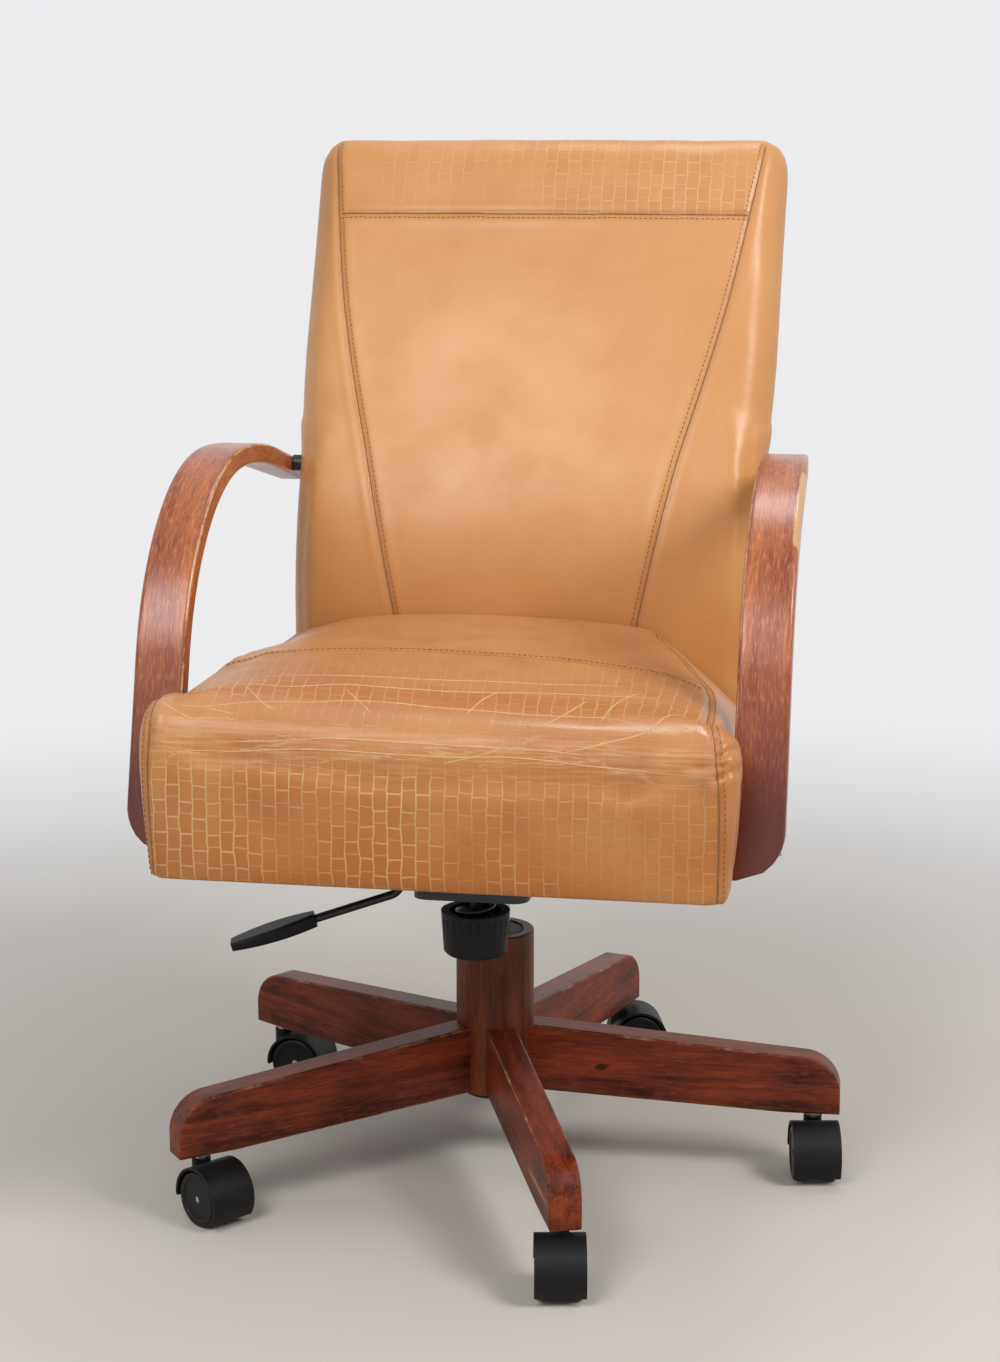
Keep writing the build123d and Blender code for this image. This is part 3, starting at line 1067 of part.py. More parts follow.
ARM_BOLT_POINTS = [*LOWER_BOLT_POINTS, REAR_BOLT_POINT]
ARM_BOLT_SEATS = [arm_outer_face(point[0]) - ARM_BOLT_SINK for point in ARM_BOLT_POINTS]
for side, name in ((1, "arm_right"), (-1, "arm_left")):
    with BuildPart() as arm:
        with BuildSketch(Plane.YZ.offset(side * ARM_INNER_X)):
            with BuildLine():
                foot_run = Line(
                    (ARM_FOOT_Y - ARM_THICK * ARM_LEAN_Y, ARM_FOOT_Z - ARM_THICK * ARM_LEAN_Z),
                    (ARM_BEND_Y, ARM_BEND_Z),
                )
                rise = TangentArc(foot_run @ 1, (ARM_CREST_Y, ARM_CREST_Z), tangent=foot_run % 1)
                crest = TangentArc(rise @ 1, (ARM_TAIL_Y, ARM_TAIL_Z), tangent=rise % 1)
                Line(crest @ 1, crest @ 1 + (crest % 1) * ARM_TAIL_LENGTH)
                offset(amount=ARM_THICK, side=Side.RIGHT)
            make_face()
        extrude(amount=side * ARM_WIDTH)
        with BuildSketch(Plane.XZ) as front_outline:
            with Locations((side * (ARM_INNER_X + ARM_WIDTH / 2), ARM_FOOT_Z + ARM_CREST_Z / 2)):
                Rectangle(ARM_WIDTH, ARM_CREST_Z)
            foot_corner = front_outline.vertices().group_by(Axis.Y)[0].sort_by(Axis.X)[0 if side < 0 else -1]
            fillet(foot_corner, ARM_FOOT_RADIUS)
        extrude(amount=BACK_BEND_RADIUS, both=True, mode=Mode.INTERSECT)
        with BuildSketch(Plane.XY):
            with BuildLine():
                Polyline(
                    (side * (ARM_INNER_X + ARM_TAIL_WIDTH), ARM_TAPER_END),
                    (side * ARM_INNER_X, ARM_TAPER_END),
                    (side * ARM_INNER_X, -BACK_BEND_RADIUS),
                    (side * ARM_OUTER_X, -BACK_BEND_RADIUS),
                    (side * ARM_OUTER_X, ARM_TAPER_START),
                )
                TangentArc(
                    (side * ARM_OUTER_X, ARM_TAPER_START),
                    (side * (ARM_INNER_X + ARM_TAIL_WIDTH), ARM_TAPER_END),
                    tangent=(0, 1),
                )
            make_face()
        extrude(amount=2 * ARM_CREST_Z, mode=Mode.INTERSECT)
        long_edges = arm.edges().filter_by(lambda edge: edge.length > 1.5 * ARM_WIDTH)
        fillet(long_edges, ARM_EDGE_RADIUS)
        for point, seat in zip(ARM_BOLT_POINTS, ARM_BOLT_SEATS):
            with BuildSketch(Plane.YZ.offset(side * ARM_INNER_X)):
                with Locations(point):
                    Circle(ARM_BOLT_DIAMETER / 2 + PIN_FIT)
            extrude(amount=side * ARM_WIDTH, mode=Mode.SUBTRACT)
            with BuildSketch(Plane.YZ.offset(side * seat)):
                with Locations(point):
                    Circle(ARM_BOLT_HEAD_DIAMETER / 2 + PIN_FIT)
            extrude(amount=side * ARM_WIDTH, mode=Mode.SUBTRACT)
    save(arm, name)

# Spacers between the arms and the frame inside the upholstery.
with BuildPart() as arm_spacers:
    for side in (1, -1):
        with BuildSketch(Plane.YZ.offset(side * BOARD_HALF_WIDTH)):
            with Locations(*ARM_BOLT_POINTS):
                Circle(ARM_SPACER_DIAMETER / 2)
            with Locations(*ARM_BOLT_POINTS):
                Circle(ARM_BOLT_DIAMETER / 2 + PIN_FIT, mode=Mode.SUBTRACT)
        extrude(amount=side * (ARM_INNER_X - BOARD_HALF_WIDTH))
save(arm_spacers, "arm_spacers")

# Arm bolts: sunk heads, shanks through arm and spacer into the rails and the back board.
with BuildPart() as arm_bolts:
    for side in (1, -1):
        for point, seat in zip(ARM_BOLT_POINTS, ARM_BOLT_SEATS):
            with BuildSketch(Plane.YZ.offset(side * seat)):
                with Locations(point):
                    Circle(ARM_BOLT_HEAD_DIAMETER / 2)
            extrude(amount=side * ARM_BOLT_HEAD_HEIGHT)
            with BuildSketch(Plane.YZ.offset(side * seat)):
                with Locations(point):
                    Circle(ARM_BOLT_DIAMETER / 2)
            extrude(amount=side * (BOARD_HALF_WIDTH - ARM_BOLT_GRIP - seat))
save(arm_bolts, "arm_bolts")
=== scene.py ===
import bpy
import math
import numpy as np
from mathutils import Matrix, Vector, bvhtree, kdtree


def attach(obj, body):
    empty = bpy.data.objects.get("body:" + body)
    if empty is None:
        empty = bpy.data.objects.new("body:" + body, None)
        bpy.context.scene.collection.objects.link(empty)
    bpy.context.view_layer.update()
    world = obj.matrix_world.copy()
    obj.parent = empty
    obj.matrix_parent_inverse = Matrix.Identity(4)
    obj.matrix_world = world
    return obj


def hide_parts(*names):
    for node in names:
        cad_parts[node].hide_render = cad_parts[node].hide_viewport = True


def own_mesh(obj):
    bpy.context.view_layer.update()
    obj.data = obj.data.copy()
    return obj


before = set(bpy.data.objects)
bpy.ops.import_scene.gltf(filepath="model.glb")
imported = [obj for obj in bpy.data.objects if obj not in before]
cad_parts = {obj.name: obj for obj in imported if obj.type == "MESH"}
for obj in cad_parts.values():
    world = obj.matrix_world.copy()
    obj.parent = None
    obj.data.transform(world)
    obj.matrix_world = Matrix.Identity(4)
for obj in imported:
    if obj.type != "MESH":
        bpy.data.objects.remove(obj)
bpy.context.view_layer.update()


# Hub column
# A turned hardwood post with the gas lift in its bore. It is stained red-brown and sprayed with satin lacquer,
# so the upright grain shows through a soft shine. The sawn rim at the top shows end grain.
def linear(hex_colour):
    """An sRGB hex colour as linear RGBA."""
    channels = [int(hex_colour[i:i + 2], 16) / 255 for i in (1, 3, 5)]
    return (*[c / 12.92 if c <= 0.04045 else ((c + 0.055) / 1.055) ** 2.4 for c in channels], 1)


def set_inputs(tree, node, inputs):
    """Set a node's inputs. Each is a value, a socket, or a node that is linked by its first live output."""
    for key, value in inputs.items():
        if isinstance(value, bpy.types.Node):
            value = next(socket for socket in value.outputs if socket.enabled)
        if isinstance(value, bpy.types.NodeSocket):
            tree.links.new(value, node.inputs[key])
        else:
            node.inputs[key].default_value = value


def add_node(tree, kind, inputs=None, **settings):
    """Add a node with its settings and its inputs."""
    node = tree.nodes.new(kind if kind.startswith(("Geometry", "NodeGroup")) else "ShaderNode" + kind)
    for name, value in settings.items():
        setattr(node, name, value)
    set_inputs(tree, node, inputs or {})
    return node


def new_finish(name, **constants):
    """A material, its nodes and its Principled shader, with the values that are the same all over the surface."""
    material = bpy.data.materials.new(name)
    material.use_nodes = True
    tree = material.node_tree
    shader = tree.nodes["Principled BSDF"]
    set_inputs(tree, shader, {key.replace("_", " "): value for key, value in constants.items()})
    return material, tree, shader


def dress(material, *names):
    """Give CAD nodes their finish."""
    for name in names:
        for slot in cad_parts[name].material_slots:
            slot.material = material


def lacquered_hardwood(name, pale, dark, figure, lacquer, turn=None, wear=0.0, uv=None, deep=None, marks=()):
    """Stained diffuse-porous hardwood under satin lacquer: streaks 12 mm wide, short flecks of figure 10 mm long,
    and pores drawn 1.6 mm wide so they show. Figure is the flecks' colour and strength, and lacquer its specular level,
    coat and roughness. Wood bent along a UV map is darkened towards its foot in the deep colour, as painted shade. A
    mark is a knot or a scuff: its place and half sizes along, through and up the board, its colour and how strong it
    is."""
    fleck_shade, fleck_most = figure
    specular, coat, satin = lacquer
    material, tree, shader = new_finish(name, Specular_IOR_Level=specular, Coat_Weight=coat, Coat_Roughness=0.22)
    if uv:
        grain = add_node(tree, "UVMap", uv_map=uv)
    else:
        place = add_node(tree, "TexCoord").outputs
        grain, normal = [add_node(tree, "Mapping", {"Vector": place[kind], "Rotation": turn})
                         for kind in ("Object", "Normal")]
    textures = []
    for spread, detail, rough, swirl in (((6, 80, 80), 4, 0.6, 0.8), ((9, 22, 22), 2, 0.5, 0),
                                         ((45, 620, 620), 2, 0.5, 0), ((95, 520, 520), 1, 0.5, 0)):
        spot = add_node(tree, "Mapping", {"Vector": grain, "Scale": spread})
        textures.append(add_node(tree, "TexNoise", {"Vector": spot, "Scale": 1, "Detail": detail, "Roughness": rough,
                                                    "Distortion": swirl}))
    streak, cloud, pore, fleck = textures
    tone = add_node(tree, "Math", {0: streak, 1: cloud}, operation="ADD")
    level = add_node(tree, "MapRange", {"Value": tone, "From Min": 0.78, "From Max": 1.22})
    colour = add_node(tree, "Mix", {0: level, 6: linear(dark), 7: linear(pale)}, data_type="RGBA")
    pit = add_node(tree, "MapRange", {"Value": pore, "From Min": 0.30, "From Max": 0.55, "To Min": 0.42, "To Max": 0.0})
    flash = add_node(tree, "MapRange", {"Value": fleck, "From Min": 0.52, "From Max": 0.68, "To Max": fleck_most})
    layers = [(pit, "#2A0F09"), (flash, fleck_shade)]
    # Painted shade: bent wood darkens towards its foot in the deep colour.
    if uv:
        layers.append((add_node(tree, "Attribute", attribute_name="foot_shade").outputs["Fac"], deep))
    if wear:
        spot = add_node(tree, "Mapping", {"Vector": grain, "Scale": (38, 38, 38)})
        rub = add_node(tree, "TexNoise", {"Vector": spot, "Scale": 1, "Detail": 5, "Roughness": 0.7})
        if uv:
            edge = add_node(tree, "Attribute", attribute_name="bared").outputs["Fac"]
            ragged = add_node(tree, "Math", {0: edge, 1: rub}, operation="ADD")
            bare = add_node(tree, "MapRange", {"Value": ragged, "From Min": 1.00, "From Max": 1.12, "To Max": wear})
        else:
            parts = add_node(tree, "SeparateXYZ", {0: normal}).outputs
            across, upward = [add_node(tree, "Math", {0: parts[way]}, operation="ABSOLUTE") for way in "YZ"]
            both = add_node(tree, "Math", {0: across, 1: upward}, operation="MULTIPLY")
            edge = add_node(tree, "MapRange", {"Value": both, "From Min": 0.15, "From Max": 0.45})
            ragged = add_node(tree, "MapRange", {"Value": rub, "From Min": 0.50, "From Max": 0.66, "To Max": wear})
            bare = add_node(tree, "Math", {0: ragged, 1: edge}, operation="MULTIPLY")
        layers.append((bare, "#CFA274"))
    for place, half, shade, most in marks:
        off = add_node(tree, "VectorMath", {0: grain, 1: place}, operation="SUBTRACT")
        part = add_node(tree, "VectorMath", {0: off, 1: half}, operation="DIVIDE")
        out = add_node(tree, "VectorMath", {0: part}, operation="LENGTH")
        torn = add_node(tree, "Math", {0: out, 1: fleck}, operation="ADD")
        inside = add_node(tree, "MapRange", {"Value": torn, "From Min": 1.1, "From Max": 1.5, "To Min": most,
                                             "To Max": 0.0})
        layers.append((inside, shade))
    for amount, shade in layers:
        colour = add_node(tree, "Mix", {0: amount, 6: colour, 7: linear(shade)}, data_type="RGBA")
    gloss = add_node(tree, "MapRange", {"Value": streak, "To Min": satin - 0.06, "To Max": satin + 0.06})
    relief = add_node(tree, "Bump", {"Height": pore, "Strength": 0.10, "Distance": 0.0006})
    set_inputs(tree, shader, {"Base Color": colour, "Roughness": gloss, "Normal": relief})
    return material


BASE_LACQUER = (0.20, 0.06, 0.42)
column_wood = lacquered_hardwood("stained_hardwood_column", "#7F3B16", "#481C08", ("#8E4A22", 0.2), BASE_LACQUER,
                                 turn=(0, math.pi / 2, 0))
dress(column_wood, "hub_column")

# Legs
# Five boards of the same hardwood, sawn to a taper and rounded at the nose, their edges eased with a router.
# Feet and cleaners have rubbed the stain off some edges. Screws from inside the hub pull each leg to its flat.
LEG_FIRST_ANGLE = -69.5
KNOT = ((0.1026, -0.0098, 0.0970), (0.0075, 0.0060, 0.0042), "#260C06", 0.85)
SCUFF = ((0.0826, -0.2620, 0.0805), (0.0440, 0.0040, 0.0030), "#B48C5C", 0.70)
leg_marks = {1: SCUFF, 2: KNOT}
for number in range(1, 6):
    leg_turn = math.radians(LEG_FIRST_ANGLE + 72 * (number - 1))
    marks = []
    if number in leg_marks:
        (x, y, z), half, shade, most = leg_marks[number]
        along = x * math.cos(leg_turn) + y * math.sin(leg_turn)
        through = y * math.cos(leg_turn) - x * math.sin(leg_turn)
        marks.append(((along, through, z), half, shade, most))
    leg_wood = lacquered_hardwood(f"stained_hardwood_leg_{number}", "#94401F", "#421206", ("#A65230", 0.22),
                                  BASE_LACQUER, turn=(0, 0, -leg_turn), wear=0.55, marks=marks)
    dress(leg_wood, f"leg_{number}")


# Black plastic: hub cap, guide bush, knob, lever handle and the casters' hoods
# Moulded nylon with a spark-eroded tool texture. It looks dull black, a little grey where dust lies on it. The pits
# are drawn 1.6 mm coarse so that they show.
def mottled_finish(name, spread, detail, dark, pale, haze=None, rough=None, pits=None, **constants):
    """A finish of two shades that drift into each other: spread is how many patches there are to a metre each way.
    Haze is where the pale shade starts and ends and how strong it is, rough is the roughness of the dark and the pale
    patches, and pits are a finer relief: its scale, detail, strength and depth."""
    material, tree, shader = new_finish(name, **constants)
    place = add_node(tree, "TexCoord").outputs["Object"]
    spot = add_node(tree, "Mapping", {"Vector": place, "Scale": spread})
    patch = amount = add_node(tree, "TexNoise", {"Vector": spot, "Scale": 1, "Detail": detail})
    if haze:
        low, high, most = haze
        amount = add_node(tree, "MapRange", {"Value": patch, "From Min": low, "From Max": high, "To Max": most})
    tint = add_node(tree, "Mix", {0: amount, 6: linear(dark), 7: linear(pale)}, data_type="RGBA")
    set_inputs(tree, shader, {"Base Color": tint})
    if rough:
        shine = add_node(tree, "MapRange", {"Value": patch, "To Min": rough[0], "To Max": rough[1]})
        set_inputs(tree, shader, {"Roughness": shine})
    if pits:
        scale, fine, strength, depth = pits
        pitted = add_node(tree, "TexNoise", {"Vector": place, "Scale": scale, "Detail": fine})
        relief = add_node(tree, "Bump", {"Height": pitted, "Strength": strength, "Distance": depth})
        set_inputs(tree, shader, {"Normal": relief})
    return material


NYLON = dict(spread=(26, 26, 26), detail=4, dark="#0D0D0E", pale="#1F1F20", haze=(0.45, 0.75, 0.35),
             IOR=1.53, Specular_IOR_Level=0.22)
hood_nylon = mottled_finish("moulded_nylon_hood", rough=(0.44, 0.58), pits=(620, 2, 0.30, 0.0004), **NYLON)
dress(hood_nylon, "hub_cap", "gas_bush", "tension_knob", "lever_paddle", *[f"caster_{i}_hood" for i in range(1, 6)])

# Caster wheels
# Smooth nylon discs, one on each side of the hood, pushed onto the ends of its axle. They come from a polished mould,
# so they shine a little more than the hoods.
wheel_nylon = mottled_finish("smooth_nylon_wheel", rough=(0.32, 0.46), pits=(620, 2, 0.10, 0.0004), **NYLON)
dress(wheel_nylon, *[f"caster_{i}_wheel_{side}" for i in range(1, 6) for side in "ab"])

# Bright steel: gas cylinder, piston rod, stems, axles, screws and bolts
# Ground and polished bar. The grinding leaves fine rings round the bar that stretch its highlights upwards. They are
# drawn 1.2 mm apart so that they show, and broad on the plated fasteners, which are too small for them.
STEEL = dict(detail=3, dark="#A9ABAE", pale="#D4D6D8", rough=(0.20, 0.36), Metallic=1.0)
bar_steel = mottled_finish("ground_steel_bar", (4, 4, 800), **STEEL)
dress(bar_steel, "gas_cylinder", "piston_rod", "release_button", "thrust_bearing")
fastener_steel = mottled_finish("zinc_plated_fasteners", (4, 4, 60), **STEEL)
dress(fastener_steel, "leg_screws", "caster_sockets", "caster_stems", "seat_bolts", "arm_bolts", "hanger_pin",
      "pivot_shaft", *[f"caster_{i}_axle" for i in range(1, 6)])

# Black steel: gas tube, tilt mechanism, lever rod and spacers
# Pressed sheet and bent rod, dipped in black enamel. The enamel pulls into a faint orange peel of 3 mm as it dries,
# with a few dull patches.
enamel = mottled_finish("black_enamel_steel", (30, 30, 30), 4, "#0E0E0F", "#1F1F20", rough=(0.28, 0.48),
                        pits=(330, 1, 0.12, 0.0005), IOR=1.5)
dress(enamel, "hub_sleeve", "gas_tube", "mechanism_housing", "seat_plate", "lever_rod", "tension_bolt",
      "back_brackets", "arm_spacers")


# Tilt spring
# A coil of black spring wire between the knob's floor and the housing. The end coils are closed and ground flat. In the
# chair the coil shortens as the seat rocks back; here it keeps one length. It is wound slim enough for the cup knob to
# move
# 4.5 mm sideways round it.
def mesh_object(name, points, faces, edges=()):
    """A mesh object with its place in its vertices."""
    mesh = bpy.data.meshes.new(name)
    mesh.from_pydata([tuple(p) for p in points], list(edges), [list(f) for f in faces])
    mesh.update()
    piece = bpy.data.objects.new(name, mesh)
    bpy.context.scene.collection.objects.link(piece)
    return piece


def skin(rings):
    """Points and faces of a closed skin over rings of equal count, with its ends capped."""
    rows, count = len(rings), len(rings[0])
    faces = [(i * count + j, i * count + (j + 1) % count, (i + 1) * count + (j + 1) % count, (i + 1) * count + j)
             for i in range(rows - 1) for j in range(count)]
    faces += [tuple(range(count))[::-1], tuple(range((rows - 1) * count, rows * count))]
    return np.concatenate(rings), faces


def round_bar(path, radius, sides):
    """Points and faces of a round bar along a path; its radius may change along it."""
    path = np.array(path)
    radius = np.broadcast_to(radius, len(path))[:, None, None]
    ways = np.gradient(path, axis=0)
    ways /= np.linalg.norm(ways, axis=1)[:, None]
    across = np.cross(ways, (0.70, 0.30, -0.65))
    across /= np.linalg.norm(across, axis=1)[:, None]
    upward = np.cross(across, ways)
    angles = np.linspace(0, 2 * math.pi, sides, endpoint=False)[None, :, None]
    return skin(path[:, None, :] + radius * (np.cos(angles) * across[:, None, :] + np.sin(angles) * upward[:, None, :]))


def tube(name, path, radius, sides=10):
    """A round bar along a path of points, as a piece."""
    piece = mesh_object(name, *round_bar(path, radius, sides))
    piece.data.shade_smooth()
    return piece


SPRING_RADIUS, SPRING_WIRE_RADIUS, SPRING_TURNS, SPRING_CLOSED = 0.0162, 0.0025, 4, 0.35
SPRING_Y, SPRING_LOW, SPRING_HIGH = -0.100, 0.2402, 0.2878
turns = np.linspace(0, SPRING_TURNS, 161)
lift = np.clip((turns - SPRING_CLOSED) / (SPRING_TURNS - 2 * SPRING_CLOSED), 0, 1)
spring_height = SPRING_HIGH - SPRING_LOW - 2 * SPRING_WIRE_RADIUS
coil_path = np.stack([SPRING_RADIUS * np.cos(2 * math.pi * turns),
                      SPRING_Y + SPRING_RADIUS * np.sin(2 * math.pi * turns),
                      SPRING_LOW + SPRING_WIRE_RADIUS + lift * spring_height], axis=1)
coil = tube("tilt_spring_coil", coil_path, SPRING_WIRE_RADIUS)
coil.data.materials.append(enamel)
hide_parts("tilt_spring")
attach(coil, "mechanism")
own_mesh(coil)

# Seat frame: plywood board, hardwood rails and the back's plywood
# Bare birch plywood, sawn to shape and hidden by the upholstery but for its edges. Its plies are 1.5 mm thick, light
# and dark by turns.
plywood = mottled_finish("birch_plywood", (20, 20, 660), 3, "#9C7A52", "#D6B98F", rough=(0.6, 0.8), IOR=1.5)
dress(plywood, "seat_board", "seat_rails", "back_board")

# Dust cover
# Black spun-bonded cloth stapled under the seat, cut out round the steel plate. Its pressed dots catch the light. They
# are 1.5 mm apart and drawn 3 mm apart so that they show.
cover_cloth, tree, shader = new_finish("spun_bonded_cloth", IOR=1.45)
place = add_node(tree, "TexCoord").outputs["Object"]
dots = add_node(tree, "TexVoronoi", {"Vector": place, "Scale": 330, "Randomness": 0.15})
tint = add_node(tree, "Mix", {0: dots, 6: linear("#1A1A1B"), 7: linear("#0B0B0C")}, data_type="RGBA")
rough = add_node(tree, "MapRange", {"Value": dots, "To Min": 0.7, "To Max": 0.95})
relief = add_node(tree, "Bump", {"Height": dots, "Strength": 0.3, "Distance": 0.0005})
set_inputs(tree, shader, {"Base Color": tint, "Roughness": rough, "Normal": relief})
dress(cover_cloth, "dust_cover")


# Seat cushion
# Foam on the board under tight tan leather: an embossed front panel that runs over the nose, a plain panel behind
# its cross seam, and plain sides. The side seams start at the front corners and close in towards the back.
SEAT_FRONT, SEAT_REAR, SEAT_BOTTOM = -0.300, 0.1185, 0.344
SEAT_NOSE, SEAT_CREST, SEAT_CROWN, SEAT_CROWN_Y = 0.034, 0.485, 0.501, 0.045
SEAT_FRONT_HALF, SEAT_HALF, SEAT_FOOT_DRAW, SEAT_SIDE_SWELL = 0.2500, 0.2325, 0.0075, 0.0025
SEAT_SHOULDER, SEAT_CORNER, SEAT_FRONT_RISE = 0.021, 0.014, 0.003
NOTCH_Y, NOTCH_LENGTH = -0.242, 0.022
SEAT_LIE_LEFT, SEAT_LIE_RIGHT, SEAT_LIE_HEIGHT = 0.056, 0.004, 0.11
SEAM_Y = [-0.300, -0.281, -0.240, -0.160, -0.090, 0.010, 0.114]
SEAM_X = {1: [0.234, 0.228, 0.222, 0.216, 0.206, 0.175, 0.135], -1: [0.240, 0.238, 0.232, 0.226, 0.222, 0.217, 0.210]}
FALL_LEFT_X, FALL_LEFT, FALL_RIGHT, FALL_START, FALL_EASE = 0.170, 0.25, 0.85, 0.012, 0.02


def read_vertices(mesh, kind="co"):
    """Vertex places of a mesh, or its normals, as an array."""
    values = np.empty(len(mesh.vertices) * 3)
    mesh.vertices.foreach_get(kind, values)
    return values.reshape(-1, 3)


def write_points(mesh, points):
    """Put vertices at new places."""
    mesh.vertices.foreach_set("co", np.ascontiguousarray(points).ravel())
    mesh.update()


def take_modifiers(piece):
    """Make a piece's modifiers final in its mesh."""
    bpy.context.view_layer.update()
    shaped = bpy.data.meshes.new_from_object(piece.evaluated_get(bpy.context.evaluated_depsgraph_get()))
    piece.modifiers.clear()
    piece.data = shaped


def halve_mesh(piece):
    """One subdivision, made final."""
    finer = piece.modifiers.new("finer", "SUBSURF")
    finer.levels = finer.render_levels = 1
    take_modifiers(piece)


def relax(mesh, points, rounds):
    """Even out points along the mesh's edges."""
    pairs = np.empty(len(mesh.edges) * 2, dtype=np.int64)
    mesh.edges.foreach_get("vertices", pairs)
    pairs = pairs.reshape(-1, 2)
    degree = np.bincount(pairs.ravel(), minlength=len(points))[:, None]
    for _ in range(rounds):
        total = np.zeros_like(points)
        np.add.at(total, pairs[:, 0], points[pairs[:, 1]])
        np.add.at(total, pairs[:, 1], points[pairs[:, 0]])
        points = 0.5 * points + 0.5 * total / degree
    return points


def upholster(piece, voxel, reach, held):
    """Remesh a form, let the leather swell under pressure by no more than reach, and halve the mesh size."""
    remesh = piece.modifiers.new("fine", "REMESH")
    remesh.mode, remesh.voxel_size = "VOXEL", voxel
    take_modifiers(piece)
    start = relax(piece.data, read_vertices(piece.data), 3)
    write_points(piece.data, start)
    group = piece.vertex_groups.new(name="held")
    group.add([int(i) for i in np.nonzero(held(start))[0]], 1.0, "REPLACE")
    cloth = piece.modifiers.new("leather", "CLOTH")
    for key, value in dict(quality=5, mass=0.4, tension_stiffness=25, compression_stiffness=25,
                           bending_stiffness=2.5, vertex_group_mass="held", use_pressure=True,
                           uniform_pressure_force=4).items():
        setattr(cloth.settings, key, value)
    cloth.settings.effector_weights.gravity = 0
    cloth.point_cache.frame_start, cloth.point_cache.frame_end = 1, 20
    for step in range(1, 21):
        bpy.context.scene.frame_set(step)
    take_modifiers(piece)
    bpy.context.scene.frame_set(1)
    moved = relax(piece.data, read_vertices(piece.data) - start, 4)
    length = np.linalg.norm(moved, axis=1)
    limit = reach(start)
    moved *= (limit * np.tanh(length / np.maximum(limit, 1e-6)) / np.maximum(length, 1e-9))[:, None]
    write_points(piece.data, start + moved)
    piece.vertex_groups.clear()
    halve_mesh(piece)


def seat_ring(y, count=26):
    """Outline across the seat at a depth, from the middle of the underside round and back to it. The cover lies a
    little askew: it leans up on one side, and its shoulders fall away past the side seams towards the back."""
    nose = max(1 - (y - SEAT_FRONT) / SEAT_NOSE, 0)
    corner = max(1 - (y - SEAT_FRONT) / SEAT_CORNER, 0)
    notch = min(max((y - NOTCH_Y + NOTCH_LENGTH) / NOTCH_LENGTH, 0), 1)
    half = SEAT_FRONT_HALF - (SEAT_FRONT_HALF - SEAT_HALF) * notch ** 2 * (3 - 2 * notch)
    half -= SEAT_CORNER * (1 - math.sqrt(1 - corner ** 2))
    crest = SEAT_CREST - SEAT_NOSE * (1 - math.sqrt(1 - nose ** 2))
    back = (y - SEAT_CROWN_Y) / (SEAT_FRONT - SEAT_CROWN_Y)
    rise = (SEAT_CROWN - SEAT_CREST) * (1 - back ** 2) + SEAT_FRONT_RISE * back ** 2
    inner, shoulder_z = half - SEAT_SHOULDER, crest - SEAT_SHOULDER
    side = [(t * (half - SEAT_FOOT_DRAW), SEAT_BOTTOM) for t in np.linspace(0, 1, count)]
    side += [(half - SEAT_FOOT_DRAW * (1 - t) + SEAT_SIDE_SWELL * math.sin(math.pi * t ** 1.6),
              SEAT_BOTTOM + t * (shoulder_z - SEAT_BOTTOM)) for t in np.linspace(0, 1, count)[1:]]
    side += [(inner + SEAT_SHOULDER * math.cos(t), shoulder_z + SEAT_SHOULDER * math.sin(t))
             for t in np.linspace(0, math.pi / 2, count // 2)[1:]]
    side += [(inner * t, crest + rise * (1 - t ** 2)) for t in np.linspace(1, 0, count)[1:]]
    side = np.array(side)
    x, z = np.concatenate([side, side[-2:0:-1] * (-1, 1)]).T
    left, right = np.interp(y, [-0.30, -0.10, 0.12], [0.8, 1.0, 0.4]), np.interp(y, [-0.27, -0.12, 0.12], [0, 1.0, 0.9])
    lie = np.where(x < 0, left * SEAT_LIE_LEFT, right * SEAT_LIE_RIGHT) * x
    z = z - lie * np.clip((z - SEAT_BOTTOM) / SEAT_LIE_HEIGHT, 0, 1) ** 2
    falls = np.where(x < 0, FALL_LEFT * np.interp(y, [-0.06, 0.05], [0, 1]),
                     FALL_RIGHT * np.interp(y, [-0.20, -0.03], [0, 1]))
    past = np.where(x < 0, -x - FALL_LEFT_X, x - np.interp(y, SEAM_Y, SEAM_X[1]))
    past = np.maximum(past + FALL_START, 0)
    z = z - falls * past ** 2 / (past + FALL_EASE) * np.clip((z - SEAT_BOTTOM) / SEAT_LIE_HEIGHT, 0, 1)
    return np.stack([x, np.full(len(x), y), z], axis=1)


seat_depths = [SEAT_FRONT + SEAT_NOSE * (1 - math.cos(math.pi / 2 * i / 10)) for i in range(11)]
seat_depths += list(np.linspace(SEAT_FRONT + SEAT_NOSE, SEAT_REAR, 60)[1:])
seat = mesh_object("seat_upholstery", *skin([seat_ring(y) for y in seat_depths]))
upholster(seat, 0.005,
          lambda p: np.where(np.abs(p[:, 0]) > 0.225, 0.0015, 0.0035) * (p[:, 1] < 0.112),
          lambda p: (p[:, 2] < SEAT_BOTTOM + 0.003) | (p[:, 1] > SEAT_REAR - 0.003))


# Seams are sewn after the swelling: each is a row of points laid on the leather, pulled in along its line.
def ease(row, rounds):
    """Even out a row of points between its ends."""
    for _ in range(rounds):
        row[1:-1] = 0.25 * row[:-2] + 0.5 * row[1:-1] + 0.25 * row[2:]
    return row


def surface(piece):
    """The leather's surface, to find the nearest place and normal on it."""
    return bvhtree.BVHTree.FromObject(piece, bpy.context.evaluated_depsgraph_get())


def lay_on(piece, path, spacing=0.001):
    """Points along a path, evenly spaced and laid on the nearest leather."""
    path = np.array(path, dtype=float)
    steps = np.concatenate([[0], np.cumsum(np.linalg.norm(np.diff(path, axis=0), axis=1))])
    at = np.arange(0, steps[-1], spacing)
    dense = np.stack([np.interp(at, steps, path[:, k]) for k in range(3)], axis=1)
    leather = surface(piece)
    laid = ease(np.array([leather.find_nearest(Vector(p))[0] for p in dense]), 20)
    return np.array([leather.find_nearest(Vector(p))[0] for p in laid])


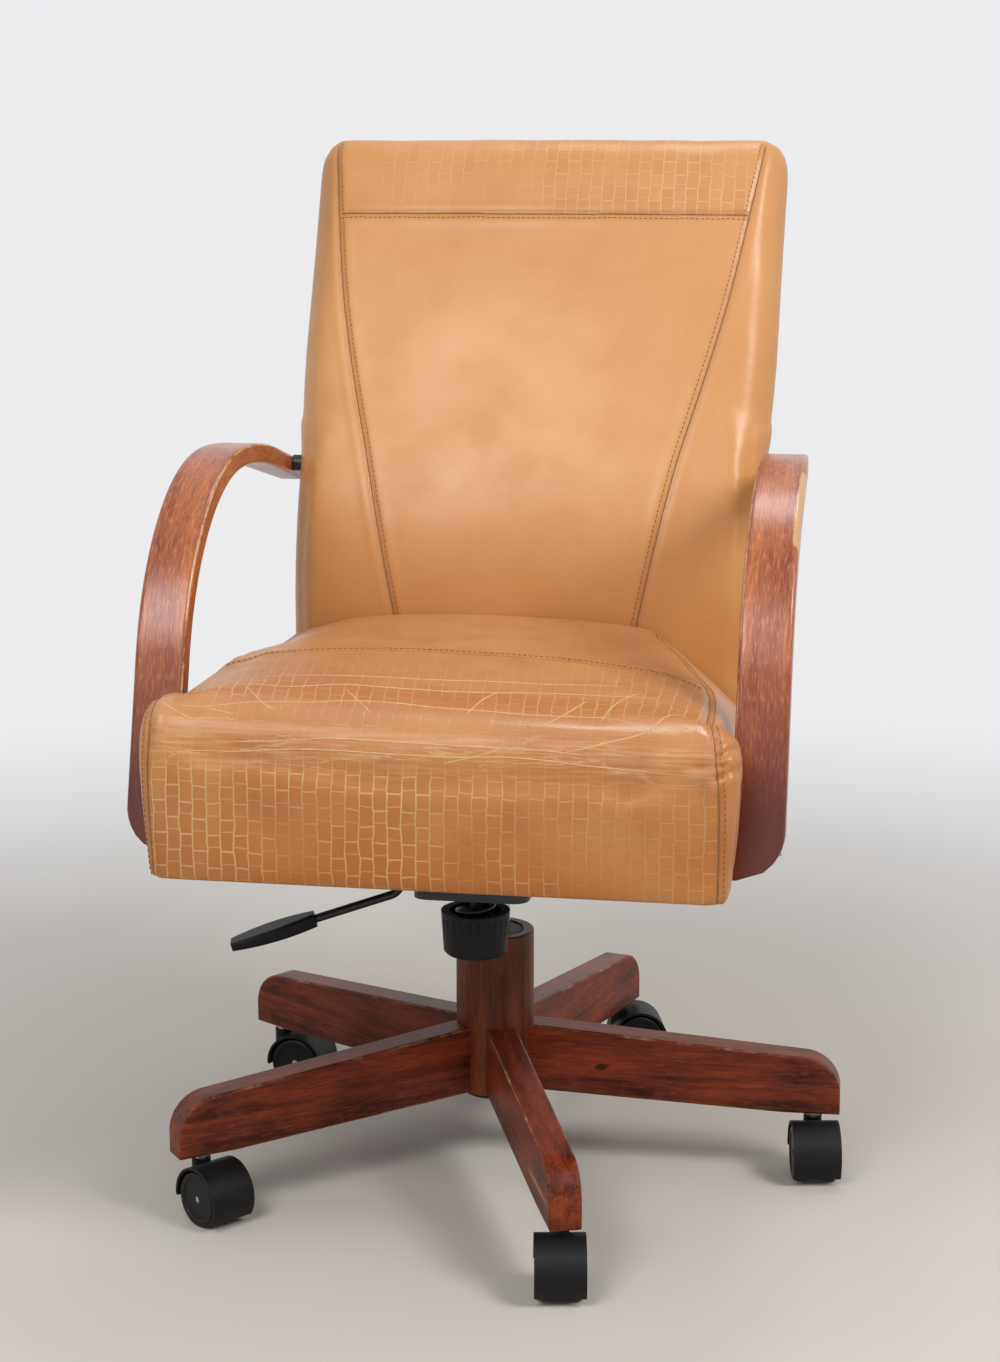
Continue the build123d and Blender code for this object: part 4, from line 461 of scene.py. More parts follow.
def smooth_path(points, count=60):
    """A smooth line through a few points."""
    points = np.array(points, dtype=float)
    tangents = np.gradient(points, axis=0)
    out = []
    for a, b, ta, tb in zip(points[:-1], points[1:], tangents[:-1], tangents[1:]):
        for t in np.linspace(0, 1, count, endpoint=False):
            out.append((2 * t**3 - 3 * t**2 + 1) * a + (t**3 - 2 * t**2 + t) * ta + (3 * t**2 - 2 * t**3) * b
                       + (t**3 - t**2) * tb)
    return np.array(out + [points[-1]])


def nearest(path, points):
    """Distance from points to a row of seam points."""
    tree = kdtree.KDTree(len(path))
    for i, p in enumerate(path):
        tree.insert(p, i)
    tree.balance()
    return np.array([tree.find(p)[2] for p in points])


def sew(piece, seams, depth=0.0013, width=0.0024, puff=0.0006):
    """Pull the leather in along its seams, puff it beside them, and note how near each point is to a seam."""
    points, normals = read_vertices(piece.data), read_vertices(piece.data, "normal")
    gap = np.full(len(points), 1.0)
    for seam in seams:
        gap = np.minimum(gap, nearest(seam, points))
    fall = -depth * np.exp(-(gap / width) ** 2) + puff * np.exp(-((gap - 0.008) / 0.005) ** 2)
    write_points(piece.data, points + normals * fall[:, None])
    return gap


def note(piece, name, values):
    """Keep one number for each vertex, for the material to read."""
    piece.data.attributes.new(name, "FLOAT", "POINT").data.foreach_set("value", values.astype(np.float32))


def lay_hide(piece, u, v):
    """Keep the hide's own coordinates, in metres, as a UV map."""
    corners = np.empty(len(piece.data.loops), dtype=np.int64)
    piece.data.loops.foreach_get("vertex_index", corners)
    layer = piece.data.uv_layers.new(name="hide")
    layer.data.foreach_set("uv", np.stack([u[corners], v[corners]], axis=1).astype(np.float32).ravel())


side_seams = []
for side in (1, -1):
    corner = SEAM_X[side][0]
    rise = [(side * (corner + 0.001), -0.297, 0.3445), (side * (corner + 0.001), -0.298, 0.400),
            (side * corner, -0.297, 0.440), (side * (corner - 0.003), -0.293, 0.466)]
    rise += [(side * x, y, 0.487) for y, x in zip(SEAM_Y[1:], SEAM_X[side][1:])]
    side_seams.append(lay_on(seat, smooth_path(rise)))


def cross_line(x):
    """How far back the cross seam lies at a place across the seat."""
    return -0.086 - np.where(x > 0, 0.022, 0.030) * (x / 0.2) ** 2


cross_seam = lay_on(seat, [(x, cross_line(x), 0.497) for x in np.linspace(-0.220, 0.203, 80)])
seat_gap = sew(seat, [*side_seams, cross_seam])

# The right corner has been knocked: a short dent crosses its seam, with two wrinkles running off it.
DENTS = [[(0.213, -0.2986, 0.4590), (0.2253, -0.2981, 0.4598), (0.2308, -0.2974, 0.4603), (0.2400, -0.2940, 0.4600)],
         [(0.2330, -0.2935, 0.4660), (0.2401, -0.2881, 0.4703), (0.2453, -0.2737, 0.4705)],
         [(0.2340, -0.2985, 0.4505), (0.2425, -0.2942, 0.4555), (0.2479, -0.2732, 0.4540)]]
sew(seat, [lay_on(seat, dent) for dent in DENTS], depth=0.0020, width=0.0026, puff=0.0010)

# The underside is hollow inside its rim, where the board and the dust cover sit.
BED_HALF, BED_FRONT, BED_REAR, BED_DEPTH = 0.205, -0.272, 0.17, 0.0155
points = read_vertices(seat.data)
x, y, z = points.T
bed = np.minimum.reduce([BED_HALF - np.abs(x), y - BED_FRONT, BED_REAR - y])
z += BED_DEPTH * np.clip((bed + 0.0015) / 0.003, 0, 1) * (z < SEAT_BOTTOM + 0.004)
write_points(seat.data, points)

# The hide's coordinates: u across the seat, v up the front, over the nose and back along the top.
nose_y, nose_z = SEAT_FRONT + SEAT_NOSE, SEAT_CREST - SEAT_NOSE
front_length = nose_z - SEAT_BOTTOM
turn = np.clip(np.arctan2(z - nose_z, nose_y - y), 0, math.pi / 2)
hide_v = np.where(y > nose_y, front_length + SEAT_NOSE * math.pi / 2 + y - nose_y,
                  np.where(z < nose_z, z - SEAT_BOTTOM, front_length + SEAT_NOSE * turn))
slant = np.interp(x, [0.06, 0.20], [0.13, 0.02]) * np.maximum(y - nose_y, 0)
lay_hide(seat, x + slant, hide_v)

# What the leather reads: where the pattern is kept, painted shade along the seams, the cracked fold, the polished nose
# with its painted highlight, and the rows that hold more dye.
front_panel = (y < cross_line(x)) & (x < np.interp(y, SEAM_Y, SEAM_X[1]))
front_panel &= -x < np.interp(y, SEAM_Y, SEAM_X[-1])
kept = np.interp(hide_v, [0, 0.092, 0.108, 0.158, 0.172, 0.206, 0.222, 0.26, 0.32],
                 [1, 1, 0.2, 0.2, 1, 1, 0.5, 0.3, 0.1])
kept *= np.where(hide_v < 0.12, np.interp(x, [0.05, 0.19], [1.0, 0.5]), 1)
kept += np.where(hide_v > 0.206, np.interp(x, [0.09, 0.16], [0, 0.35]), 0)
top_dye = np.exp(-((hide_v - 0.188) / 0.017) ** 4) * np.interp(x, [0.05, 0.20], [1.0, 0.6])
foot_dye = np.clip((0.062 - hide_v) / 0.05, 0, 1) * np.interp(np.abs(x + 0.02), [0.10, 0.20], [1.0, 0.35])
note(seat, "embossed", front_panel * kept)
# Painted shade: the leather darkens along the seams' grooves.
note(seat, "seam", np.exp(-(seat_gap / 0.0032) ** 2))
note(seat, "creased", np.exp(-((hide_v - 0.118) / 0.018) ** 2) * front_panel)
# Painted highlight: the polished band along the nose is painted paler; its lower roughness is the polish itself.
note(seat, "polish_and_sheen", np.exp(-((hide_v - 0.146) / 0.012) ** 2) * front_panel)
note(seat, "dye_and_shade", (top_dye + foot_dye) * front_panel)


def tan_leather(name, pale, middle, deep, stain_most):
    """Cowhide in aniline dye: clouds of colour 150 mm across, pebbled grain drawn 2 mm coarse, a waxy shine,
    embossed blocks 12 by 28 mm with the dye worn off their edges, and pale cracks where it is folded."""
    material, tree, shader = new_finish(name, IOR=1.48, Sheen_Weight=0.08, Sheen_Roughness=0.4)
    place = add_node(tree, "TexCoord").outputs["Object"]
    hide = add_node(tree, "UVMap", uv_map="hide")
    embossed, seam, creased, polish_and_sheen, dye_and_shade = [add_node(tree, "Attribute", attribute_name=kind).outputs["Fac"]
                                             for kind in ("embossed", "seam", "creased", "polish_and_sheen", "dye_and_shade")]
    cloud = add_node(tree, "TexNoise", {"Vector": place, "Scale": 7, "Detail": 5, "Roughness": 0.55})
    blotch = add_node(tree, "TexNoise", {"Vector": place, "Scale": 16, "Detail": 5, "Roughness": 0.6})
    tone = add_node(tree, "MapRange", {"Value": cloud, "From Min": 0.32, "From Max": 0.68})
    colour = add_node(tree, "Mix", {0: tone, 6: linear(middle), 7: linear(pale)}, data_type="RGBA")
    stain = add_node(tree, "MapRange", {"Value": blotch, "From Min": 0.48, "From Max": 0.75})

    # Embossed blocks, staggered column by column, with wandering lines. Each block's strap shows a fainter second edge.
    wander = add_node(tree, "TexNoise", {"Vector": hide, "Scale": 42, "Detail": 2})
    shift = add_node(tree, "VectorMath", {0: wander.outputs["Color"], 1: (0.5, 0.5, 0.5)}, operation="SUBTRACT")
    small = add_node(tree, "VectorMath", {0: shift, "Scale": 0.005}, operation="SCALE")
    bent = add_node(tree, "VectorMath", {0: hide, 1: small}, operation="ADD")
    rows = []
    for along in (0.0, -0.0103):
        turned = add_node(tree, "Mapping", {"Vector": bent, "Location": (along, 0, 0), "Rotation": (0, 0, math.pi / 2)})
        rows.append(add_node(tree, "TexBrick", {
            "Vector": turned, "Color1": (0, 0, 0, 1), "Color2": (1, 1, 1, 1), "Mortar": (0.5, 0.5, 0.5, 1),
            "Scale": 1.0, "Mortar Size": 0.0008, "Mortar Smooth": 0.4, "Bias": 0.0,
            "Brick Width": 0.0278, "Row Height": 0.01175}, offset=0.5).outputs)
    blocks, straps = rows
    faint = add_node(tree, "Math", {0: straps["Fac"], 1: 0.5}, operation="MULTIPLY")
    edges = add_node(tree, "Math", {0: blocks["Fac"], 1: faint}, operation="MAXIMUM")
    patchy = add_node(tree, "TexNoise", {"Vector": place, "Scale": 11, "Detail": 3})
    strength = add_node(tree, "MapRange", {"Value": patchy, "From Min": 0.35, "From Max": 0.62, "To Min": 0.15,
                                           "To Max": 1.0})
    shown = add_node(tree, "Math", {0: embossed, 1: strength}, operation="MULTIPLY")
    lines = add_node(tree, "Math", {0: edges, 1: shown}, operation="MULTIPLY")
    darker = add_node(tree, "Math", {0: blocks["Color"], 1: shown}, operation="MULTIPLY")

    # Cracks and finer streaks that run along the nose, where the hide is folded and sat on.
    spot = add_node(tree, "Mapping", {"Vector": hide, "Scale": (7, 55, 1)})
    fold = add_node(tree, "TexNoise", {"Vector": spot, "Scale": 1, "Detail": 4, "Roughness": 0.5, "Distortion": 0.3})
    off = add_node(tree, "Math", {0: fold, 1: 0.5}, operation="SUBTRACT")
    away = add_node(tree, "Math", {0: off}, operation="ABSOLUTE")
    crack = add_node(tree, "MapRange", {"Value": away, "From Min": 0.003, "From Max": 0.014, "To Min": 1.0,
                                        "To Max": 0.0})
    cracks = add_node(tree, "Math", {0: crack, 1: creased}, operation="MULTIPLY")
    spot = add_node(tree, "Mapping", {"Vector": hide, "Scale": (22, 330, 1)})
    streak = add_node(tree, "TexNoise", {"Vector": spot, "Scale": 1, "Detail": 3})
    streaky = add_node(tree, "MapRange", {"Value": streak, "From Min": 0.45, "From Max": 0.70})
    wrinkles = add_node(tree, "Math", {0: streaky, 1: creased}, operation="MULTIPLY")

    # The colours are laid over each other: stains, dye with painted shade, block faces and edges, cracks, wrinkles, a
    # painted highlight on the polished nose, and painted shade along the seams.
    for amount, most, shade in ((stain, stain_most, deep), (dye_and_shade, 0.75, "#B4681F"), (darker, 0.40, "#A9651F"),
                                (lines, 0.52, "#E9C893"), (cracks, 0.28, "#EBCB98"), (wrinkles, 0.50, "#DDB488"),
                                (polish_and_sheen, 0.18, "#DDB48A"), (seam, 0.28, "#8A5522")):
        laid = add_node(tree, "Math", {0: amount, 1: most}, operation="MULTIPLY")
        colour = add_node(tree, "Mix", {0: laid, 6: colour, 7: linear(shade)}, data_type="RGBA")

    # Sitting polishes the nose, and the folds beside it are dull.
    rough = add_node(tree, "MapRange", {"Value": blotch, "From Min": 0.3, "From Max": 0.7, "To Min": 0.32,
                                        "To Max": 0.46})
    for amount, change in ((polish_and_sheen, -0.23), (creased, 0.20)):
        rough = add_node(tree, "Math", {0: amount, 1: change, 2: rough}, operation="MULTIPLY_ADD")
    pebble = add_node(tree, "TexVoronoi", {"Vector": place, "Scale": 480})
    relief = add_node(tree, "Bump", {"Height": pebble, "Strength": 0.10, "Distance": 0.0004})
    for height, strength in ((lines, 0.45), (cracks, 0.35)):
        relief = add_node(tree, "Bump", {"Height": height, "Strength": strength, "Distance": 0.0008, "Normal": relief},
                          invert=True)
    set_inputs(tree, shader, {"Base Color": colour, "Roughness": rough, "Normal": relief})
    return material


seat_leather = tan_leather("tan_leather_seat", "#C3864B", "#B67138", "#965622", 0.50)
seat.data.materials.clear()
seat.data.materials.append(seat_leather)
seat.data.shade_smooth()
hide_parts("seat_cushion")
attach(seat, "seat_unit")

# Stitching
# A row of waxed thread beside each seam, five stitches to the inch, pulled half into the leather. The twisted thread
# is a dull satin, a little darker than the leather.
thread = mottled_finish("waxed_thread", (900, 900, 900), 1, "#6E4820", "#A97C48", IOR=1.5, Roughness=0.55)
stitch_row = bpy.data.node_groups.new("stitch_row", "GeometryNodeTree")
for name, kind in (("Lines", "Geometry"), ("Pitch", "Float"), ("Stitch length", "Float"), ("Thread", "Float"),
                   ("Finish", "Material")):
    stitch_row.interface.new_socket(name=name, in_out="INPUT", socket_type="NodeSocket" + kind)
stitch_row.interface.new_socket(name="Stitches", in_out="OUTPUT", socket_type="NodeSocketGeometry")
given = add_node(stitch_row, "NodeGroupInput").outputs
curve = add_node(stitch_row, "GeometryNodeMeshToCurve", {"Mesh": given["Lines"]})
spread = add_node(stitch_row, "GeometryNodeCurveToPoints", {"Curve": curve, "Length": given["Pitch"]}, mode="LENGTH")
bead = add_node(stitch_row, "GeometryNodeMeshUVSphere", {"Segments": 6, "Rings": 5, "Radius": 0.5})
size = add_node(stitch_row, "CombineXYZ", {"X": given["Thread"], "Y": given["Thread"], "Z": given["Stitch length"]})
laid = add_node(stitch_row, "GeometryNodeInstanceOnPoints", {"Points": spread, "Instance": bead, "Scale": size,
                                                             "Rotation": spread.outputs["Rotation"]})
real = add_node(stitch_row, "GeometryNodeRealizeInstances", {0: laid})
waxed = add_node(stitch_row, "GeometryNodeSetMaterial", {"Geometry": real, "Material": given["Finish"]})
add_node(stitch_row, "NodeGroupOutput", {0: waxed})
STITCH = {"Pitch": 0.0050, "Stitch length": 0.0036, "Thread": 0.0009, "Finish": thread}
STITCH_GAP, STITCH_LIFT = 0.005, 0.0003


def beside(piece, path, side):
    """A row beside a seam, on the leather: side is the direction to step towards."""
    leather = surface(piece)
    row = []
    for p, way in zip(path, np.gradient(path, axis=0)):
        across = np.cross(way, np.array(leather.find_nearest(Vector(p))[1]))
        across /= max(np.linalg.norm(across), 1e-9)
        if across @ np.array(side) < 0:
            across = -across
        spot, normal, _, _ = leather.find_nearest(Vector(p + STITCH_GAP * across))
        row.append(np.array(spot) + STITCH_LIFT * np.array(normal))
    return ease(np.array(row), 8)


def stitch(name, piece, seams):
    """Stitches beside seams, as one mesh: each seam has the side that its row is on."""
    rows = [beside(piece, seam, side) for seam, side in seams]
    starts = np.cumsum([0] + [len(row) for row in rows])
    edges = [(i, i + 1) for a, b in zip(starts[:-1], starts[1:]) for i in range(a, b - 1)]
    stitches = mesh_object(name, np.concatenate(rows), [], edges)
    sewn = stitches.modifiers.new("rows", "NODES")
    sewn.node_group = stitch_row
    for item in stitch_row.interface.items_tree:
        if item.name in STITCH:
            sewn[item.identifier] = STITCH[item.name]
    take_modifiers(stitches)
    stitches.data.shade_smooth()
    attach(stitches, "seat_unit")


stitch("seat_stitches", seat, [(side_seams[0], (1, 0.3, 0)), (side_seams[1], (-1, 0.3, 0)), (cross_seam, (0, 1, 0))])

# Folds
# The turned-in edge of the hide, where two panels meet: a thin line sunk in the seam, dark with wax and dust, that
# mottles every 6 mm.
FOLD_RADIUS, FOLD_SPACING = 0.0006, 0.002
fold_finish = mottled_finish("folded_leather_edge", (170, 170, 170), 3, "#6E431C", "#A6713A", IOR=1.48, Roughness=0.6)


def fold(name, piece, seam):
    """The folded edge along a seam."""
    edge = tube(name, lay_on(piece, seam, FOLD_SPACING), FOLD_RADIUS, 6)
    edge.data.materials.append(fold_finish)
    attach(edge, "seat_unit")


for label, seam in (("right", side_seams[0]), ("left", side_seams[1]), ("cross", cross_seam)):
    fold(f"seat_fold_{label}", seat, seam)

# Creases
# Where the hide folds over the nose and is sat on, the dye has cracked off along long pale lines and a few slanted
# ones. Each is a thin ridge of bare hide, dry and mottled every 8 mm, that rises from the leather and tapers off.
CREASE_RADIUS, CREASE_END_RADIUS, CREASE_SUNK, CREASE_SPACING = 0.0009, 0.0001, 0.0004, 0.0015
CREASES = [
    [(-0.2196, -0.2767, 0.493), (-0.2061, -0.2522, 0.495), (-0.1727, -0.2320, 0.496), (-0.1332, -0.2337, 0.496),
     (-0.0934, -0.2199, 0.496), (-0.0415, -0.2210, 0.495), (0.0261, -0.2178, 0.492), (0.0756, -0.2100, 0.490),
     (0.1253, -0.2029, 0.486), (0.1662, -0.1937, 0.482), (0.2005, -0.2002, 0.478)],
    [(-0.2333, -0.2773, 0.490), (-0.1979, -0.2804, 0.491), (-0.1578, -0.2706, 0.494), (-0.1169, -0.2639, 0.494),
     (-0.0766, -0.2551, 0.494), (-0.0345, -0.2536, 0.493), (0.0250, -0.2575, 0.491), (0.0758, -0.2626, 0.490),
     (0.1332, -0.2603, 0.488), (0.1671, -0.2702, 0.486), (0.2086, -0.2789, 0.483)],
    [(-0.1755, -0.2062, 0.497), (-0.1344, -0.1952, 0.498), (-0.0829, -0.1906, 0.498), (-0.0312, -0.1883, 0.496),
     (0.0195, -0.1818, 0.494), (0.0709, -0.1803, 0.491), (0.1204, -0.1675, 0.486), (0.1537, -0.1601, 0.481)],
    [(-0.2365, -0.2980, 0.453), (-0.2015, -0.3000, 0.456), (-0.1590, -0.2999, 0.457), (-0.1252, -0.2997, 0.460),
     (-0.0833, -0.2993, 0.461), (-0.0416, -0.2994, 0.460), (0.0163, -0.2992, 0.459), (0.0573, -0.2987, 0.461),
     (0.0900, -0.2988, 0.460), (0.1226, -0.2994, 0.457), (0.1550, -0.2995, 0.455), (0.2240, -0.2996, 0.451)],
    [(-0.1930, -0.2991, 0.465), (-0.1422, -0.2989, 0.466), (-0.0838, -0.2967, 0.471), (-0.0255, -0.2963, 0.470),
     (0.0323, -0.2963, 0.469), (0.0896, -0.2965, 0.468), (0.1384, -0.2972, 0.465)],
    [(-0.1708, -0.2391, 0.496), (-0.1480, -0.2692, 0.494), (-0.1310, -0.2822, 0.489)],
    [(-0.0863, -0.2316, 0.496), (-0.0701, -0.2535, 0.494), (-0.0529, -0.2773, 0.489)],
    [(-0.2333, -0.2773, 0.490), (-0.2127, -0.2888, 0.486), (-0.1990, -0.2920, 0.482)],
    [(-0.1934, -0.2812, 0.491), (-0.1800, -0.2842, 0.489), (-0.1664, -0.2864, 0.487)],
    [(0.0230, -0.2688, 0.490), (0.0302, -0.2401, 0.491), (0.0421, -0.2125, 0.492)],
    [(0.0869, -0.2798, 0.485), (0.1007, -0.2630, 0.489), (0.1194, -0.2209, 0.487)],
    [(0.1347, -0.2716, 0.487), (0.1436, -0.2144, 0.485), (0.1556, -0.1756, 0.482)],
    [(0.1059, -0.2968, 0.467), (0.1219, -0.2950, 0.470), (0.1454, -0.2899, 0.477), (0.1610, -0.2854, 0.480),
     (0.1760, -0.2763, 0.485), (0.1877, -0.2504, 0.485), (0.1994, -0.2299, 0.481)],
    [(0.1725, -0.2805, 0.483), (0.1939, -0.2769, 0.484), (0.2153, -0.2663, 0.485)],
    [(0.0082, -0.2998, 0.453), (0.0409, -0.2985, 0.462), (0.0649, -0.2953, 0.471)]]
leather = surface(seat)
crease_points, crease_faces = [], []
for line in CREASES:
    path = lay_on(seat, smooth_path(line, 12), CREASE_SPACING)
    path -= CREASE_SUNK * np.array([leather.find_nearest(Vector(p))[1] for p in path])
    radius = CREASE_RADIUS * np.sin(np.linspace(0, math.pi, len(path))) ** 0.3
    ridge, sides = round_bar(path, np.maximum(radius, CREASE_END_RADIUS), 6)
    start = sum(len(p) for p in crease_points)
    crease_points.append(ridge)
    crease_faces += [tuple(start + k for k in face) for face in sides]
creases = mesh_object("seat_creases", np.concatenate(crease_points), crease_faces)
creases.data.shade_smooth()
creases.data.materials.append(mottled_finish("cracked_leather", (120, 120, 120), 3, "#C68F52", "#E6C08C", IOR=1.48,
                                             Roughness=0.6))
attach(creases, "seat_unit")


# Back cushion
# Foam over bent plywood in the same leather, rounded like a bolster at its sides. A wedge-shaped plain panel is
# sewn in at the front, and above it an embossed panel turns over the top edge.
BACK_MID_Y, BACK_BEND_Z, BACK_RADIUS = 0.164, 0.490, 0.335
BACK_RECLINE, BACK_LOWER, BACK_BOTTOM, BACK_TOP = math.radians(25.5), 0.144, 0.346, 0.944
BACK_ARC = BACK_RADIUS * BACK_RECLINE
BACK_UPPER = (BACK_TOP - BACK_BEND_Z - BACK_RADIUS * math.sin(BACK_RECLINE)) / math.cos(BACK_RECLINE)
BACK_RUN = BACK_LOWER + BACK_ARC + BACK_UPPER
BACK_THICK, BACK_HALF, BACK_ARM_HALF = 0.0425, 0.2395, 0.2315
BACK_TOP_LENGTH, BACK_TOP_DRAW, BACK_TOP_THICK = 0.034, 0.020, 0.014
BACK_SWELL, BACK_DRAW, BACK_CROWN = 0.130, 0.022, 0.009


def back_place(run, depth):
    """Depth and height of a point of the back: run up its middle line, depth towards the sitter."""
    bend = np.clip((run - BACK_LOWER) / BACK_RADIUS, 0, BACK_RECLINE)
    straight = np.minimum(run, BACK_LOWER) - BACK_LOWER + np.maximum(run - BACK_LOWER - BACK_ARC, 0)
    y = BACK_MID_Y + BACK_RADIUS - (BACK_RADIUS + depth) * np.cos(bend) + straight * np.sin(bend)
    z = BACK_BEND_Z + (BACK_RADIUS + depth) * np.sin(bend) + straight * np.cos(bend)
    return y, z


def back_inverse(points):
    """Run and depth of points of the back."""
    y, z = points[:, 1] - BACK_MID_Y - BACK_RADIUS, points[:, 2] - BACK_BEND_Z
    bend = np.arctan2(z, -y)
    low, high = bend < 0, bend > BACK_RECLINE
    run = np.where(low, BACK_LOWER + z, BACK_LOWER + BACK_RADIUS * bend)
    depth = np.where(low, -y - BACK_RADIUS, np.hypot(y, z) - BACK_RADIUS)
    along = y * math.sin(BACK_RECLINE) + z * math.cos(BACK_RECLINE)
    away = -y * math.cos(BACK_RECLINE) + z * math.sin(BACK_RECLINE) - BACK_RADIUS
    return np.where(high, BACK_LOWER + BACK_ARC + along, run), np.where(high, away, depth)


def back_ring(run, count=40):
    """Pillow outline across the back at a run: its front and one side, and the same turned round."""
    swell = min(max((run - BACK_LOWER - BACK_ARC) / BACK_SWELL, 0), 1)
    top = max(run - BACK_RUN + BACK_TOP_LENGTH, 0) / BACK_TOP_LENGTH
    fall = 1 - math.sqrt(max(1 - top ** 2, 0))
    half = BACK_ARM_HALF + (BACK_HALF - BACK_ARM_HALF) * swell * (2 - swell) - BACK_TOP_DRAW * fall
    thick = BACK_THICK - (BACK_THICK - BACK_TOP_THICK) * fall
    draw, edge = BACK_DRAW * thick / BACK_THICK, thick * (1 - BACK_CROWN / BACK_THICK)
    outline = [(t * (half - draw), thick - (thick - edge) * t ** 2) for t in np.linspace(1, -1, count, endpoint=False)]
    outline += [(-half + draw * t ** 2, edge * t) for t in np.linspace(1, -1, count // 2, endpoint=False)]
    x, depth = np.concatenate([outline, -np.array(outline)]).T
    return np.stack([x, *back_place(np.full(len(x), run), depth)], axis=1)


back_runs = list(np.linspace(0, BACK_RUN - BACK_TOP_LENGTH, 90))
back_runs += [BACK_RUN - BACK_TOP_LENGTH * (1 - math.sin(math.pi / 2 * i / 10)) for i in range(1, 11)]
back = mesh_object("back_upholstery", *skin([back_ring(run) for run in back_runs]))
upholster(back, 0.006,
          lambda p: np.where((np.abs(p[:, 0]) > 0.222) & (p[:, 2] < 0.68), 0.0012, 0.0035),
          lambda p: (p[:, 2] < BACK_BOTTOM + 0.004))

# The wedge's seams, run by half width; the left one bows out. The cross seam under the embossed panel sags.
WEDGE_RUN = [0.006, 0.080, 0.157, 0.280, 0.374, 0.461, 0.545, 0.608, 0.630]
WEDGE_X = [0.090, 0.102, 0.1175, 0.146, 0.170, 0.190, 0.205, 0.217, 0.222]
WEDGE_BOW = {1: 0, -1: 0.007}
wedge_seams = []
for side in (1, -1):
    line = smooth_path([(side * (x + WEDGE_BOW[side] * math.sin(math.pi * run / WEDGE_RUN[-1])), run, 0)
                        for run, x in zip(WEDGE_RUN, WEDGE_X)], 20)
    y, z = back_place(line[:, 1], np.full(len(line), BACK_THICK))
    wedge_seams.append(lay_on(back, np.stack([line[:, 0], y, z], axis=1)))


def band_line(x):
    """How far up the back the cross seam runs at a place across it."""
    return 0.541 + 0.003 * (x / 0.2) ** 2


band_x = np.linspace(-0.204, 0.204, 60)
band_seam = lay_on(back, np.stack([band_x, *back_place(band_line(band_x), np.full(60, BACK_THICK))], axis=1))
back_gap = sew(back, [*wedge_seams, band_seam])

# The rear panel's bed: the leather behind is pulled in where the panel sits.
PANEL_HALF, PANEL_LOW, PANEL_HIGH, PANEL_BED = 0.212, 0.016, BACK_RUN - 0.032, 0.009
points = read_vertices(back.data)
run, depth = back_inverse(points)
inside = np.minimum.reduce([PANEL_HALF - np.abs(points[:, 0]), run - PANEL_LOW, PANEL_HIGH - run])
sunk = np.clip((inside + 0.002) / 0.005, 0, 1) * (depth < -0.012)
points[:, 1], points[:, 2] = back_place(run, depth + PANEL_BED * sunk)
write_points(back.data, points)

# What the leather reads: the pattern above the cross seam, worn away to the left, painted shade low down towards the
# seat, and more dye at the top.
x, _, z = points.T
lay_hide(back, x, run)
wedge_x = np.interp(run, WEDGE_RUN, WEDGE_X)
wedge_x += np.where(x < 0, WEDGE_BOW[-1] * np.sin(math.pi * np.clip(run / WEDGE_RUN[-1], 0, 1)), 0)
band = (np.abs(x) < wedge_x) & (run > band_line(x)) & (depth > -0.02)
# Painted shade: the lower back darkens towards the seat, where shade falls between seat and back.
low_shade, top_dye = 0.55 * np.clip((0.66 - z) / 0.16, 0, 1), 0.25 * np.clip((run - 0.44) / 0.10, 0, 1)
note(back, "embossed", band * 0.65 * np.clip((x + 0.26) / 0.30, 0.12, 1.0))
# Painted shade: the leather darkens along the seams' grooves.
note(back, "seam", np.exp(-(back_gap / 0.0035) ** 2) * (depth > 0))
note(back, "dye_and_shade", (low_shade + top_dye) * (depth > 0))
for name in ("creased", "polish_and_sheen"):
    note(back, name, np.zeros(len(points)))
back_leather = tan_leather("tan_leather_back", "#D89E64", "#CD9252", "#BC7E3E", 0.25)
back.data.materials.clear()
back.data.materials.append(back_leather)
back.data.shade_smooth()
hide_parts("back_cushion")
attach(back, "seat_unit")
stitch("back_stitches", back, [(wedge_seams[0], (-1, 0, 0)), (wedge_seams[1], (1, 0, 0)), (band_seam, (0, 0, -1))])
for label, seam in (("right", wedge_seams[0]), ("left", wedge_seams[1]), ("top", band_seam)):
    fold(f"back_fold_{label}", back, seam)


# Rear panel
# A thin board covered with the back's leather over a little padding. It closes the back from behind and is pushed
# into its bed over clips.
PANEL_GAP, PANEL_PAD, PANEL_PROUD = 0.0015, 0.0045, 0.0012
PANEL_COLUMNS, PANEL_ROWS = 70, 96
panel_half, panel_middle = PANEL_HALF - PANEL_GAP, (PANEL_LOW + PANEL_HIGH) / 2
panel_reach = (PANEL_HIGH - PANEL_LOW) / 2 - PANEL_GAP
panel_points, panel_faces, index = [], [], {}
for sign in (1, -1):
    for j, b in enumerate(np.linspace(-1, 1, PANEL_ROWS)):
        for i, a in enumerate(np.linspace(-1, 1, PANEL_COLUMNS)):
            if sign < 0 and (i in (0, PANEL_COLUMNS - 1) or j in (0, PANEL_ROWS - 1)):
                index[sign, i, j] = index[1, i, j]
                continue
            x, run = panel_half * math.sin(math.pi / 2 * a), panel_middle + panel_reach * math.sin(math.pi / 2 * b)
            rise = (max(0, 1 - a ** 12) * max(0, 1 - b ** 14)) ** 0.5
            outer = BACK_THICK - BACK_CROWN * (x / BACK_HALF) ** 2 + PANEL_PROUD
            y, z = back_place(run, -(outer - PANEL_PAD) - sign * PANEL_PAD * rise)
            index[sign, i, j] = len(panel_points)
            panel_points.append((x, y, z))
    for j in range(PANEL_ROWS - 1):
        for i in range(PANEL_COLUMNS - 1):
            face = (index[sign, i, j], index[sign, i + 1, j], index[sign, i + 1, j + 1], index[sign, i, j + 1])
            panel_faces.append(face if sign < 0 else face[::-1])
panel = mesh_object("rear_panel", panel_points, panel_faces)
halve_mesh(panel)
points = read_vertices(panel.data)
